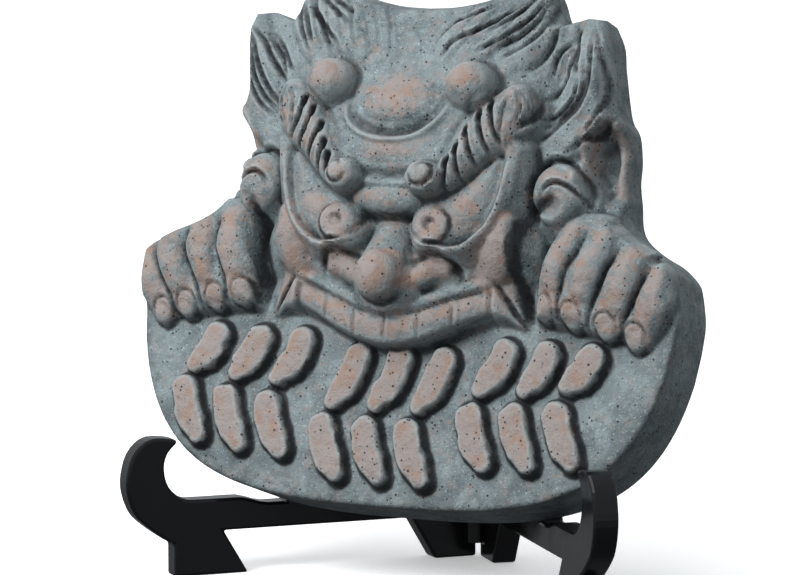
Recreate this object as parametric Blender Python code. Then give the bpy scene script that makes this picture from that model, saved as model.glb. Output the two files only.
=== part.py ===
"""A roof end tile with a demon's face, leaning in its folding plate stand.

The tile is fired clay: a thick board with a rounded foot, a horned face that grips the board's upper edge
with both hands, and raised brush strokes on the board. The stand is two moulded side frames hinged at the
rear. Sizes are in millimetres and turned into metres by MM. The tile's own axes are u to the right,
v up its face and w out of its back.
"""
import math

import bmesh
import bpy
import numpy as np
from mathutils import Matrix, Vector
from mathutils.geometry import delaunay_2d_cdt

MM = 0.001

# the tile
TILE_WIDTH = 194.0          # across the two hands
BOARD_THICKNESS = 24.9      # front of the board to its back
TOP_THICKNESS = 8.5         # at the hair's tips, where the back slopes forward
BACK_SLOPE_START = 76.0     # height up the tile where the back starts to slope
RELIEF_DEPTH = 33.0         # the curls of the brows above the board's face
STROKE_HEIGHT = 4.6         # raised strokes above the board's face
STROKE_WIDTH = 10.2
STROKE_LENGTH = 15.0
STROKE_SLANT = 7.0          # sideways run of each stroke over its length
STROKE_PITCH = 15.4
STROKES_ABREAST = 3
STROKE_GROUPS = [(-54.0, 15.0), (-2.0, 9.0), (50.0, 15.5)]      # middle of each group, height of its foot
CROWN_LOCKS = 5             # carved lines in each half of the crown's hair
TUFT_LOCKS = 4
BROW_LOCKS = 7
TOOTH_PITCH = 11.4          # across the middle of the mouth
TOOTH_GAPS = 3              # carved gaps on either side of the middle one
EDGE_ROUND = 1.6            # rounding of the front edge
TILE_LEAN = 17.7            # degrees back from upright

# the folding stand
HALF_OPENING = 41.6         # degrees between each side frame and the middle
FRAME_THICKNESS = 8.3
HINGE_OFFSET = 1.6          # from the hinge axis to a frame's inner face
SEAT_REACH = 68.3           # hinge axis to the seat's rear corner, along a frame
SEAT_HEIGHT = 23.1
ARM_DEPTH = 10.8            # height of the arm's section
HOOK_GAP = 8.0              # between the board's face and the hook's inner side
HOOK_WIDTH = 13.2
HOOK_HEIGHT = 46.4
FOOT_HEIGHT = 14.6          # ground to the underside of the arm
FOOT_LENGTH = 25.8          # front foot, along the ground
REAR_FOOT_LENGTH = 15.1
FOOT_SLANT = 8.6            # how far a foot's inner end leans over its height
UPRIGHT_HEIGHT = 118.0
UPRIGHT_WIDTH = 13.0
SPINE_HEIGHT = 44.0
SPINE_WIDTH = 14.2
FRAME_BEVEL = 1.1
BARREL_RADIUS = 4.2
BARREL_LENGTH = 11.0
PEG_RADIUS = 1.8
PEG_LENGTH = 3.0

GAP = 0.3                   # between pieces that touch
HINGE_PLAY = 0.4

# mesh fineness
GRID_STEP = 1.25            # between the points that carry the relief
TILE_TRIANGLES = 8200       # what the relief is thinned to

SCALE = TILE_WIDTH / 194.0  # the face is drawn on a tile 194 wide, and its outline grows with the tile
LEAN = math.radians(TILE_LEAN)
OPEN = math.radians(HALF_OPENING)

# the tile's outline above the board's foot: right side, from hand to crown
SIDE = [(95.8, 60), (97, 69), (96.4, 76), (94, 81), (87.5, 86.5), (80.5, 91), (73.5, 95.5), (70, 100),
        (68.6, 106), (67, 114), (67.8, 122), (67.6, 129), (66, 133.5), (66.4, 141), (66.4, 150),
        (65, 157), (61.5, 164)]
TUFT_TOP = [(57, 163.6), (48.8, 161.4)]
CROWN = [(47, 166.5), (45, 171.5), (41.5, 175), (30, 172.4), (20, 169.2), (10, 167.2), (0, 166.6)]
FOOT_CURVE = (100.0, 27.0)  # half width that the foot's curve tends to, and how fast it rises
# hand-pressed clay: the outline's middle strays this far sideways at each height
STRAY_AT = [0, 60, 80, 100, 118, 135, 150, 165]
STRAY = [0, -0.9, -3.0, 0.8, 0.9, -1.5, -4.2, -5.8]


def smoothstep(x):
    x = np.clip(x, 0.0, 1.0)
    return x * x * (3.0 - 2.0 * x)


def foot_height(u):
    """Height of the board's lower edge at a distance u from the middle."""
    reach, rise = FOOT_CURVE
    share = np.clip(np.abs(u) / reach, 0.0, 0.985)
    return -rise * np.log(1.0 - share ** 3)


def curve_through(points, count):
    """A smooth curve through the given points, evenly spaced along its length."""
    points = np.array(points, float)
    ends = np.vstack([2 * points[0] - points[1], points, 2 * points[-1] - points[-2]])
    out = []
    for i in range(len(points) - 1):
        a, b, c, d = ends[i:i + 4]
        t = np.linspace(0.0, 1.0, 12, endpoint=False)[:, None]
        out.append(0.5 * (2 * b + (c - a) * t + (2 * a - 5 * b + 4 * c - d) * t ** 2
                          + (3 * b - a - 3 * c + d) * t ** 3))
    out = np.vstack(out + [points[-1:]])
    run = np.concatenate([[0.0], np.cumsum(np.linalg.norm(np.diff(out, axis=0), axis=1))])
    at = np.linspace(0.0, run[-1], count)
    return np.stack([np.interp(at, run, out[:, k]) for k in range(out.shape[1])], 1)


def outline(step):
    """The tile's outline as a closed loop of points, anticlockwise from the foot's middle."""
    foot_u = FOOT_CURVE[0] * np.sin(np.linspace(0.0, math.radians(71.0), 40))
    foot = np.stack([foot_u, foot_height(foot_u)], 1)
    side = curve_through(SIDE, 60)
    crown = curve_through(CROWN, 40)
    right = np.vstack([foot, side, np.array(TUFT_TOP, float), crown])
    left = right[::-1][1:-1] * (-1.0, 1.0)
    loop = np.vstack([right, left])
    loop[:, 0] += np.interp(loop[:, 1], STRAY_AT, STRAY)
    closed = np.vstack([loop, loop[:1]])
    run = np.concatenate([[0.0], np.cumsum(np.linalg.norm(np.diff(closed, axis=0), axis=1))])
    at = np.linspace(0.0, run[-1], int(run[-1] / step), endpoint=False)
    return np.stack([np.interp(at, run, closed[:, k]) for k in range(2)], 1)


def distance_to_path(u, v, path):
    """Distance to a path, the share of its length at the nearest point, and the side."""
    best = np.full(u.shape, 1e9)
    share = np.zeros(u.shape)
    side = np.zeros(u.shape)
    count = len(path) - 1
    for i in range(count):
        (au, av), (bu, bv) = path[i], path[i + 1]
        du, dv = bu - au, bv - av
        along = np.clip(((u - au) * du + (v - av) * dv) / (du * du + dv * dv + 1e-12), 0.0, 1.0)
        away = np.hypot(u - au - along * du, v - av - along * dv)
        near = away < best
        best = np.where(near, away, best)
        share = np.where(near, (i + along) / count, share)
        side = np.where(near, np.sign(du * (v - av) - dv * (u - au)), side)
    return best, share, side


class Relief:
    """Heights above the tile's back, built up from domes, bars, plates, ridges and grooves."""

    def __init__(self, u, v):
        self.u = u - np.interp(v, STRAY_AT, STRAY) * smoothstep((np.abs(u) - 40.0) / 25.0) + 0.015 * v
        self.v = v
        self.w = np.full(u.shape, BOARD_THICKNESS)
        self.k = RELIEF_DEPTH / 33.0

    def both(self, shape, *args, **more):
        """The same shape on the right and mirrored on the left."""
        shape(*args, mirror=1, **more)
        shape(*args, mirror=-1, **more)

    def local(self, centre, radii, turn, mirror):
        c, s = math.cos(math.radians(turn)), math.sin(math.radians(turn))
        du, dv = self.u * mirror - centre[0], self.v - centre[1]
        return np.hypot((du * c + dv * s) / radii[0], (dv * c - du * s) / radii[1])

    def raise_to(self, height):
        """Raises the surface to a height above the board's face wherever it lies lower."""
        self.w = np.maximum(self.w, BOARD_THICKNESS + self.k * height)

    def dome(self, centre, radii, height, turn=0, mirror=1, power=1.0):
        """Adds a soft swelling, or a hollow where the height is below zero."""
        d = self.local(centre, radii, turn, mirror)
        self.w += height * self.k * np.clip(1.0 - d * d, 0.0, 1.0) ** power

    def ball(self, centre, radii, top, drop, mirror=1, fall=4.0):
        """Raises the surface to a round knob whose highest point is at top above the board."""
        d = self.local(centre, radii, 0, mirror)
        outside = np.clip(d - 1.0, 0.0, 99.0) * min(radii) * fall
        self.raise_to(top - drop + drop * np.sqrt(np.clip(1.0 - d * d, 0.0, 1.0)) - outside)

    def path(self, points, mirror, count=14):
        return curve_through(np.array(points, float) * (mirror, 1.0), count)

    def groove(self, points, width, depth, mirror=1, taper=0.4):
        """Cuts a rounded groove along a path, fading at both ends."""
        d, share, side = distance_to_path(self.u, self.v, self.path(points, mirror))
        fade = np.sin(np.pi * np.clip(share, 0.03, 0.97)) ** taper
        self.w -= depth * self.k * fade * np.exp(-(d / width) ** 2)

    def rib(self, points, radius, height, mirror=1, taper=0.35):
        """Adds a rounded ridge along a path, fading at both ends."""
        d, share, side = distance_to_path(self.u, self.v, self.path(points, mirror))
        round_top = np.sqrt(np.clip(1.0 - (d / radius) ** 2, 0.0, 1.0))
        fade = np.clip(np.minimum(share, 1.0 - share) / taper, 0.0, 1.0) ** 0.5
        self.w += height * self.k * round_top * fade

    def sausage(self, points, radii, tops, drop, mirror=1, fall=4.0):
        """Raises the surface to a round bar along a path; radii and tops follow its length."""
        d, share, side = distance_to_path(self.u, self.v, self.path(points, mirror))
        size = np.interp(share, np.linspace(0, 1, len(radii)), radii)
        crest = np.interp(share, np.linspace(0, 1, len(tops)), tops)
        outside = np.clip(d - size, 0.0, 99.0) * fall
        self.raise_to(crest - drop + drop * np.sqrt(np.clip(1.0 - (d / size) ** 2, 0.0, 1.0)) - outside)

    def plate(self, points, top_near, top_far, edge, drop, mirror=1, fall=4.0):
        """Raises the inside of a closed outline to a top that slopes from its near end to its far end."""
        path = self.path(points + points[:1], 1, 48)
        place = np.stack([self.u * mirror, self.v], 1)
        d, share, side = distance_to_path(place[:, 0], place[:, 1], path)
        d = np.where(inside(place, path[:-1]), d, -d)
        near, far = path[:, 0].min(), path[:, 0].max()
        top = np.interp(place[:, 0], [near, far], [top_near, top_far])
        form = np.sqrt(1.0 - (1.0 - np.clip(d / edge, 0.0, 1.0)) ** 2)
        self.raise_to(top - drop + drop * form + fall * np.minimum(d, 0.0))

    def pad(self, points, width, height, draft, head=1.0, tail=1.0):
        """Raises a flat-topped brush stroke that swells towards its middle."""
        d, share, side = distance_to_path(self.u, self.v, self.path(points, 1))
        half = 0.5 * width * np.interp(share, [0.0, 0.3, 0.7, 1.0], [head, 1.0, 1.0, tail])
        self.w = np.maximum(self.w, BOARD_THICKNESS + height * smoothstep((half - d) / draft + 0.5))


def head_ground(r):
    """The head rises from the board like a thick mask, highest along the brows and forehead."""
    u, v = r.u, r.v
    lower_edge = 53.5 + 10.0 * (np.abs(u) / 40.0) ** 2
    half = np.interp(v, [50, 75, 95, 110, 125, 150], [45, 45.5, 47, 50, 52, 54])
    face = np.clip(1.0 - (np.abs(u) / half) ** 2.5, 0.0, 1.0) ** 0.75
    rise = smoothstep((v - lower_edge) / 4.0)
    heights_at = [50, 58, 64, 72, 80, 88, 93, 97, 103, 112, 124, 131, 138, 145, 158, 172]
    heights = [8, 9, 10.5, 11, 12, 13.5, 14.5, 20, 24, 24.5, 24.5, 22, 17, 13, 8, 3]
    droop = np.interp(np.abs(u), [10, 15, 24, 33, 44], [0, 1.5, 5, 13, 20])
    level = v - droop * smoothstep((v - 82.0) / 8.0) * smoothstep((136.0 - v) / 14.0)
    r.w += r.k * face * rise * np.interp(level, heights_at, heights)
    hairline = np.interp(np.abs(u), [30, 48], [130, 100])
    hair_ground = smoothstep((v - hairline) / 20.0) * np.clip(1.0 - (np.abs(u) / 74.0) ** 4, 0.0, 1.0)
    r.w += r.k * 4.0 * hair_ground * smoothstep((178.0 - v) / 30.0)


def ears_and_arms(r):
    """Hooked ears beside the face, and the upper arms' hollowed flanks."""
    hook = [(43, 92), (43.2, 102), (46, 109.5), (51.5, 112.5), (57, 109.5), (59.6, 103.5), (58.5, 97)]
    r.both(r.sausage, hook, [2.6, 3.4, 3.8, 4.0, 3.6, 3.0, 2.4], [8, 13, 15, 14, 12, 9, 6], 4.5)
    r.both(r.sausage, [(48.5, 100.5), (52, 103.8), (56.3, 98.5)], [2.6, 2.8, 2.4], [9, 9.5, 6], 3.0)
    r.both(r.groove, [(44.5, 94), (42.5, 87), (42.5, 79), (44, 71), (45.5, 63)], 3.0, 3.6, taper=0.2)
    flank = smoothstep((r.v - 101.0) / 7.0) * smoothstep((134.0 - r.v) / 6.0)
    edge = 67.3 - np.abs(r.u)
    r.w -= r.k * flank * 15.0 * smoothstep((8.5 - edge) / 9.5)
    r.both(r.dome, (63.9, 116.5), (3.8, 9.5), -3.6, turn=-4, power=0.6)


def hair(r):
    """Locks that rise from the forehead to the crown's two peaks, and a tuft at each side."""
    r.both(r.sausage, [(50, 122), (56, 131), (60, 143), (61, 161)], [6, 8.5, 9, 5], [9, 10, 9, 5], 4.5)
    r.both(r.rib, [(30, 143), (38, 151), (43, 161), (45, 171)], 6.0, 2.8)
    for i in range(CROWN_LOCKS):
        share = i / (CROWN_LOCKS - 1.0)
        root = (4.0 + 19.0 * share, 143.0 + 3.0 * share)
        middle = (7.0 + 25.0 * share + 2.0 * share ** 2, 153.0 + 1.0 * share)
        tip = (17.0 + 30.0 * share, 171.0 - 4.0 * share)
        r.both(r.groove, [root, middle, tip], 1.8, 2.8)
    for i in range(TUFT_LOCKS):
        share = i / (TUFT_LOCKS - 1.0)
        root = (46.0 + 6.0 * share, 134.0 - 14.0 * share)
        middle = (52.0 + 11.5 * share, 144.0 - 8.0 * share)
        tip = (53.0 + 10.5 * share, 157.0 + 1.0 * share)
        r.both(r.groove, [root, middle, tip], 1.6, 3.0)
    r.both(r.groove, [(37, 134), (44, 142), (48, 152), (48.8, 163)], 2.0, 4.0)


def forehead(r):
    """Horns, the jewel between them and the crease that holds it."""
    r.dome((-0.5, 131), (13.5, 9.5), 3.4, power=0.8)
    crease = [(-16.4, 130.5), (-14, 122.8), (-7.5, 119), (0, 118.1), (7.5, 119), (14, 122.8), (16.6, 131.2)]
    r.groove(crease, 1.6, 2.8, taper=0.3)
    r.both(r.ball, (25.2, 135), (8.3, 8.2), 30.0, 8.6)


def brows(r):
    """Brows that start in a curl by the nose and fan out like a comb to a round end."""
    shape = [(15, 98.6), (23.8, 102.1), (33.2, 111.1), (43.6, 119.9), (46.4, 126.3), (45.6, 133.2), (42.3, 137),
             (37.9, 136.7), (27, 126.5), (20.9, 114.5), (17.4, 109.2)]
    r.both(r.plate, shape, 29.5, 23.0, 5.5, 7.5)
    for i in range(BROW_LOCKS):
        share = (i + 0.3) / BROW_LOCKS
        low = (20.5 + 24.5 * share, 101.5 + 22.5 * share)
        high = (20.5 + 24.0 * share, 111.0 + 34.0 * share - 11.0 * share ** 2)
        bend = (0.5 * (low[0] + high[0]) - 0.5, 0.5 * (low[1] + high[1]))
        r.both(r.groove, [low, bend, high], 0.95, 2.8, taper=0.25)
    r.both(r.ball, (14.4, 103.4), (5.8, 5.4), 32.5, 5.5)
    curl = [(11.8, 102.6), (13, 100.6), (16.2, 100.4), (18.6, 103.2), (17.9, 106.6), (15.4, 107.6)]
    r.both(r.groove, curl, 0.9, 1.8)
    r.groove([(-8.5, 105.2), (0, 104.6), (8.5, 105.2)], 1.6, 2.6, taper=0.1)
    r.sausage([(-8.8, 97.8), (0, 97), (8.8, 97.8)], [4.0, 4.6, 4.0], [24.5, 25.5, 24.5], 4.5)


def eyes(r):
    """Bulging eyes under the brows, each with its iris and a lower lid."""
    eyeball = [(10, 91.5), (12, 86.5), (17.5, 84.6), (24, 86), (30, 90.6), (34, 97), (36.2, 106), (36.6, 112),
               (32.5, 109), (27, 104), (21, 99.6), (14, 97)]
    r.both(r.plate, eyeball, 23.0, 18.0, 8.0, 6.0)
    r.both(r.ball, (17.3, 88.8), (5.4, 5.2), 25.6, 3.6)
    r.both(r.dome, (17.1, 88.8), (2.6, 2.5), -2.6, power=0.7)
    lid = [(8.3, 91.5), (9.9, 86.8), (13.6, 84), (20, 82.6), (27.1, 85), (34.3, 92.9), (37.8, 105.4), (38.6, 112.8)]
    r.both(r.groove, lid, 1.0, 2.2, taper=0.15)
    r.both(r.rib, [(a * 1.03 + 0.8, b - 2.0) for a, b in lid], 1.5, 1.6)


def nose_and_mouth(r):
    """A drop-shaped nose with flared wings over a grinning row of teeth."""
    r.both(r.dome, (34.5, 84), (9, 13), 3.6, turn=10, power=0.8)
    r.sausage([(0, 92.5), (0, 86), (0, 79), (0, 72)], [6.0, 6.4, 6.8, 7.0], [15.5, 18.5, 22.5, 27], 6.0, fall=1.8)
    wing = [(5, 69.8), (10.5, 72.6), (15.5, 75.8), (20, 76.6)]
    r.both(r.sausage, wing, [3.8, 4.0, 4.3, 4.1], [15, 17, 17.5, 15.5], 5.0)
    r.ball((0, 71.6), (7.2, 8.2), 29.0, 8.5)
    lip = [(-38, 74.5), (-24.5, 69.6), (-9, 63.4), (0, 61.9), (9, 63.4), (24.5, 69.6), (38, 74.5)]
    teeth = [(a * 0.99, b - 5.2) for a, b in lip]
    r.sausage(teeth, [3.6, 5.0, 5.2, 5.0, 3.6], [6, 10.5, 11.5, 10.5, 6], 2.6)
    r.sausage([(a, b + 1.0) for a, b in lip], [2.0, 2.6, 2.8, 2.6, 2.0], [8.5, 12.6, 14.5, 12.6, 8.5], 2.6, fall=1.0)
    r.groove([(a, b - 1.6) for a, b in lip], 0.9, 1.4, taper=0.15)
    for i in range(-TOOTH_GAPS, TOOTH_GAPS + 1):
        u = TOOTH_PITCH * i
        top = 60.3 + 11.0 * (u / 34.0) ** 2
        r.groove([(u, top), (u, top - 7.0)], 1.0, 2.0, taper=0.2)
    flap = [(35, 73.6), (41, 77.5), (43.5, 71.5), (46, 60.5), (40.5, 62.5), (35.5, 64.5)]
    r.both(r.plate, flap, 10.0, 2.5, 2.2, 2.0)


def hands(r):
    """Each hand lays four fingers over the board's upper edge, nails down."""
    fingers = [[(61.6, 92), (59.4, 82.5), (56.9, 74), (54.8, 67.5)], [(72.8, 91), (70.4, 81), (67.6, 72.5), (64.9, 65.5)],
               [(83.8, 86), (81.6, 77), (78.9, 69.2), (76.3, 62.8)], [(92.6, 79.5), (91, 72), (88.7, 66), (85.9, 60.2)]]
    r.both(r.sausage, [(57, 98), (66, 99), (76, 94), (86, 86)], [6, 8, 8, 7], [5, 6.5, 6.5, 4], 5.0)
    for finger, high, tip in zip(fingers, [13.0, 12.2, 11.0, 8.5], [7.0, 6.2, 5.6, 4.2]):
        nu, nv = finger[-1]
        tops = [high - 3.5, high - 0.5, high, high - 1.5, tip + 0.5]
        r.both(r.sausage, finger, [4.8, 6.2, 6.0, 5.2], tops, 7.0)
        r.both(r.ball, (nu - 0.2, nv - 0.4), (4.5, 5.0), tip + 1.4, 3.6)
        r.both(r.groove, [(nu - 4.4, nv + 3.2), (nu - 0.8, nv + 4.6), (nu + 3.8, nv + 3.6)], 0.8, 1.4)


def stroke_rows(r):
    """Two rows of thick brush strokes in three groups, in the place of an inscription."""
    length, slant, pitch = STROKE_LENGTH / SCALE, STROKE_SLANT / SCALE, STROKE_PITCH / SCALE
    for middle, low in STROKE_GROUPS:
        for row in range(2):
            way = 1 if row else -1
            for i in range(STROKES_ABREAST):
                u = middle + pitch * (i - 0.5 * (STROKES_ABREAST - 1)) + 1.5 * way
                foot = low + foot_height(u) * 0.3 + row * (length + 9.0)
                stroke = [(u - 0.5 * slant * way, foot), (u + 1.2 * way, foot + 0.5 * length),
                          (u + 0.5 * slant * way, foot + length)]
                r.pad(stroke, STROKE_WIDTH / SCALE, STROKE_HEIGHT, 1.6, head=0.66, tail=1.0)


def relief_heights(u, v):
    """Height of the tile's front over its back plane at each point."""
    r = Relief(u, v)
    head_ground(r)
    hair(r)
    ears_and_arms(r)
    forehead(r)
    eyes(r)
    brows(r)
    nose_and_mouth(r)
    hands(r)
    stroke_rows(r)
    return r.w


def back_height(v):
    """The back is flat behind the board and slopes forward behind the head."""
    start = BACK_SLOPE_START / SCALE
    run = np.clip((v - start) / (TUFT_TOP[0][1] - start), 0.0, 1.2)
    return run * (BOARD_THICKNESS - TOP_THICKNESS)


def inset_loops(loop, distances):
    """Copies of a closed loop moved inwards by each distance."""
    ahead = np.roll(loop, -2, axis=0) - np.roll(loop, 2, axis=0)
    normal = np.stack([-ahead[:, 1], ahead[:, 0]], 1)
    normal /= np.linalg.norm(normal, axis=1)[:, None]
    return [loop + normal * d for d in distances]


def inside(points, loop):
    """Which points lie inside a closed loop."""
    result = np.zeros(len(points), bool)
    following = np.roll(loop, -1, axis=0)
    for (au, av), (bu, bv) in zip(loop, following):
        crosses = (av > points[:, 1]) != (bv > points[:, 1])
        at = au + (points[:, 1] - av) * (bu - au) / (bv - av if bv != av else 1e-9)
        result ^= crosses & (points[:, 0] < at)
    return result


def tile_mesh(step):
    """The tile as one closed mesh: relief in front, a plain wall around it and the back."""
    rounding = EDGE_ROUND / SCALE
    loop = outline(step)
    count = len(loop)
    rings = [ring for ring in inset_loops(loop, (0.35 * rounding, rounding))]
    grid_u, grid_v = np.meshgrid(np.arange(-101.0, 101.0, step), np.arange(-1.0, 178.0, step))
    points = np.stack([grid_u.ravel(), grid_v.ravel()], 1)
    points = points[inside(points, loop)]
    closed = np.vstack([loop, loop[:1]])
    away, share, side = distance_to_path(points[:, 0], points[:, 1], closed)
    points = points[away > rounding + 0.6 * step]
    flat = np.vstack([loop] + rings + [points])
    edges = [(i, (i + 1) % count) for i in range(count)]
    made = delaunay_2d_cdt([Vector(p) for p in flat], edges, [], 1, 1e-6)
    verts = np.array([tuple(p) for p in made[0]])
    sources = [list(s) for s in made[3]]
    place = {}
    for new, old in enumerate(sources):
        for one in old:
            place[one] = new
    rim = [place[i] for i in range(count)]
    away, share, side = distance_to_path(verts[:, 0], verts[:, 1], closed)
    away[rim] = 0.0
    height = relief_heights(verts[:, 0], verts[:, 1])
    round_off = EDGE_ROUND * (1.0 - np.sqrt(np.clip(1.0 - (1.0 - np.clip(away / rounding, 0, 1)) ** 2, 0, 1)))
    edge_height = np.minimum(height, BOARD_THICKNESS + 0.4 * EDGE_ROUND + 2.2 * away * SCALE)
    height = np.maximum(edge_height - round_off, back_height(verts[:, 1]) + 0.5 * TOP_THICKNESS)
    front = [Vector((p[0] * SCALE, -h, p[1] * SCALE)) for p, h in zip(verts, height)]
    back = [Vector((verts[i][0] * SCALE, -back_height(verts[i][1]), verts[i][1] * SCALE)) for i in rim]
    mesh = bmesh.new()
    front_verts = [mesh.verts.new(p * MM) for p in front]
    back_verts = [mesh.verts.new(p * MM) for p in back]
    for face in made[2]:
        mesh.faces.new([front_verts[i] for i in face])
    for i in range(count):
        j = (i + 1) % count
        mesh.faces.new([front_verts[rim[j]], front_verts[rim[i]], back_verts[i], back_verts[j]])
    sloped = [i for i in range(count) if verts[rim[i]][1] >= BACK_SLOPE_START / SCALE]
    behind = delaunay_2d_cdt([Vector(p) for p in loop], edges + [(sloped[0], sloped[-1])], [], 1, 1e-6)
    origin = [one[0] for one in behind[3]]
    for face in behind[2]:
        mesh.faces.new([back_verts[origin[i]] for i in face][::-1])
    bmesh.ops.triangulate(mesh, faces=[f for f in mesh.faces if len(f.verts) > 3])
    bmesh.ops.recalc_face_normals(mesh, faces=mesh.faces)
    return mesh


def material(name, colour, roughness, metallic=0.0):
    made = bpy.data.materials.new(name)
    made.use_nodes = True
    shader = made.node_tree.nodes["Principled BSDF"]
    shader.inputs["Base Color"].default_value = (*colour, 1.0)
    shader.inputs["Roughness"].default_value = roughness
    shader.inputs["Metallic"].default_value = metallic
    return made


def add_object(name, mesh, surface):
    data = bpy.data.meshes.new(name)
    mesh.to_mesh(data)
    mesh.free()
    made = bpy.data.objects.new(name, data)
    data.materials.append(surface)
    bpy.context.collection.objects.link(made)
    return made


def on_frame(s, q):
    """Place over the ground of a point s along the right frame and q out from the hinge's plane."""
    return s * math.sin(OPEN) + q * math.cos(OPEN), -s * math.cos(OPEN) + q * math.sin(OPEN)


def arm_top(s, hook_inner):
    """Height of the arm's upper edge, lower at the seat than towards the hook."""
    rise = smoothstep((s - SEAT_REACH - 6.0) / (hook_inner - 26.0 - SEAT_REACH - 6.0))
    return SEAT_HEIGHT + (FOOT_HEIGHT + ARM_DEPTH - SEAT_HEIGHT) * rise


def tile_place():
    """Where the middle of the tile's lower back edge lies, resting on both arms."""
    back_y = -SEAT_REACH * math.cos(OPEN) + HINGE_OFFSET * math.sin(OPEN) - GAP
    hook_inner = SEAT_REACH + (BOARD_THICKNESS * math.cos(LEAN) + HOOK_GAP) / math.cos(OPEN)
    highest = -1e9
    for s in np.linspace(SEAT_REACH - 2.0, hook_inner - 12.0, 60):
        for q in (HINGE_OFFSET, HINGE_OFFSET + FRAME_THICKNESS):
            x, y = on_frame(s, q)
            rise = float(foot_height(x / SCALE)) * SCALE
            w = (back_y + rise * math.sin(LEAN) - y) / math.cos(LEAN)
            if w < -0.5:
                continue
            under = rise * math.cos(LEAN) + max(w, 0.0) * math.sin(LEAN)
            highest = max(highest, float(arm_top(s, hook_inner)) - under)
    return back_y, highest + GAP, hook_inner


def frame_profile(back_y, base_z, hook_inner):
    """A side frame's outline, along the frame and up, anticlockwise from the front foot's toe."""
    hook_outer = hook_inner + HOOK_WIDTH
    toe = hook_inner - 3.4
    sole = 0.0
    rear = -0.9

    def upright(z):
        """Where the upright's front edge meets the tile's back at a height."""
        y = back_y + (z - base_z) * math.tan(LEAN) + GAP / math.cos(LEAN)
        return (HINGE_OFFSET * math.sin(OPEN) - y) / math.cos(OPEN)

    hook = [(toe, FOOT_HEIGHT - 3.6), (toe + 1.2, FOOT_HEIGHT - 3.2), (hook_inner + 5.3, FOOT_HEIGHT + 2.0),
            (hook_outer - 2.7, FOOT_HEIGHT + 7.2), (hook_outer, FOOT_HEIGHT + 15.7),
            (hook_outer - 1.1, HOOK_HEIGHT - 7.9), (hook_outer - 3.9, HOOK_HEIGHT - 2.9),
            (hook_inner + 5.0, HOOK_HEIGHT), (hook_inner - 0.5, HOOK_HEIGHT + 0.1),
            (hook_inner - 4.6, HOOK_HEIGHT - 0.7)]
    inner = [(hook_inner - 4.2, HOOK_HEIGHT - 1.9), (hook_inner - 1.1, HOOK_HEIGHT - 5.3),
             (hook_inner, HOOK_HEIGHT - 10.3), (hook_inner - 1.7, HOOK_HEIGHT - 16.4),
             (hook_inner - 6.9, FOOT_HEIGHT + ARM_DEPTH + 0.5), (hook_inner - 14.0, FOOT_HEIGHT + ARM_DEPTH)]
    profile = [(toe, sole)] + [tuple(p) for p in curve_through(hook, 26)]
    profile += [tuple(p) for p in curve_through(inner, 16)]
    for s in np.linspace(hook_inner - 18.0, SEAT_REACH + 6.0, 7):
        profile.append((float(s), float(arm_top(s, hook_inner))))
    seat_z = SEAT_HEIGHT
    profile.append((upright(seat_z), seat_z))
    top = UPRIGHT_HEIGHT
    front_top = upright(top)
    slope = (upright(seat_z) - front_top) / (top - seat_z)
    for i in range(7):
        angle = math.pi * i / 6.0
        half = 0.5 * UPRIGHT_WIDTH
        profile.append((front_top - half + half * math.cos(angle), top - half + half * math.sin(angle)))
    arm_z = FOOT_HEIGHT + ARM_DEPTH - 1.5
    foot_of_back = front_top + slope * (top - arm_z - 10.0) - UPRIGHT_WIDTH
    corner = [(foot_of_back - 1.5, arm_z + 10.0), (foot_of_back - 1.0, arm_z + 3.0),
              (foot_of_back - 8.0, arm_z), (SPINE_WIDTH + 9.0, arm_z), (SPINE_WIDTH + 2.0, arm_z + 3.0),
              (SPINE_WIDTH, arm_z + 9.0)]
    profile += [tuple(p) for p in curve_through(corner, 16)]
    profile += [(SPINE_WIDTH, SPINE_HEIGHT - 4.0), (SPINE_WIDTH - 4.0, SPINE_HEIGHT), (rear, SPINE_HEIGHT)]
    profile += [(rear, sole), (rear + REAR_FOOT_LENGTH, sole)]
    profile += [(rear + REAR_FOOT_LENGTH + FOOT_SLANT, FOOT_HEIGHT)]
    profile += [(toe - FOOT_LENGTH + FOOT_SLANT, FOOT_HEIGHT), (toe - FOOT_LENGTH, sole)]
    return profile


def cylinder(name, radius, low, high, frame):
    """An upright cylinder on the hinge axis, used as a guide for a Boolean."""
    mesh = bmesh.new()
    bmesh.ops.create_cone(mesh, cap_ends=True, segments=24, radius1=radius * MM, radius2=radius * MM,
                          depth=(high - low) * MM)
    bmesh.ops.translate(mesh, verts=mesh.verts, vec=(0, 0, 0.5 * (low + high) * MM))
    made = add_object(name, mesh, frame.data.materials[0])
    made.parent = frame.parent
    made.hide_render = True
    made.display_type = "WIRE"
    return made


def combine(target, tool, operation):
    step = target.modifiers.new(tool.name, "BOOLEAN")
    step.object = tool
    step.operation = operation
    step.solver = "EXACT"


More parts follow.
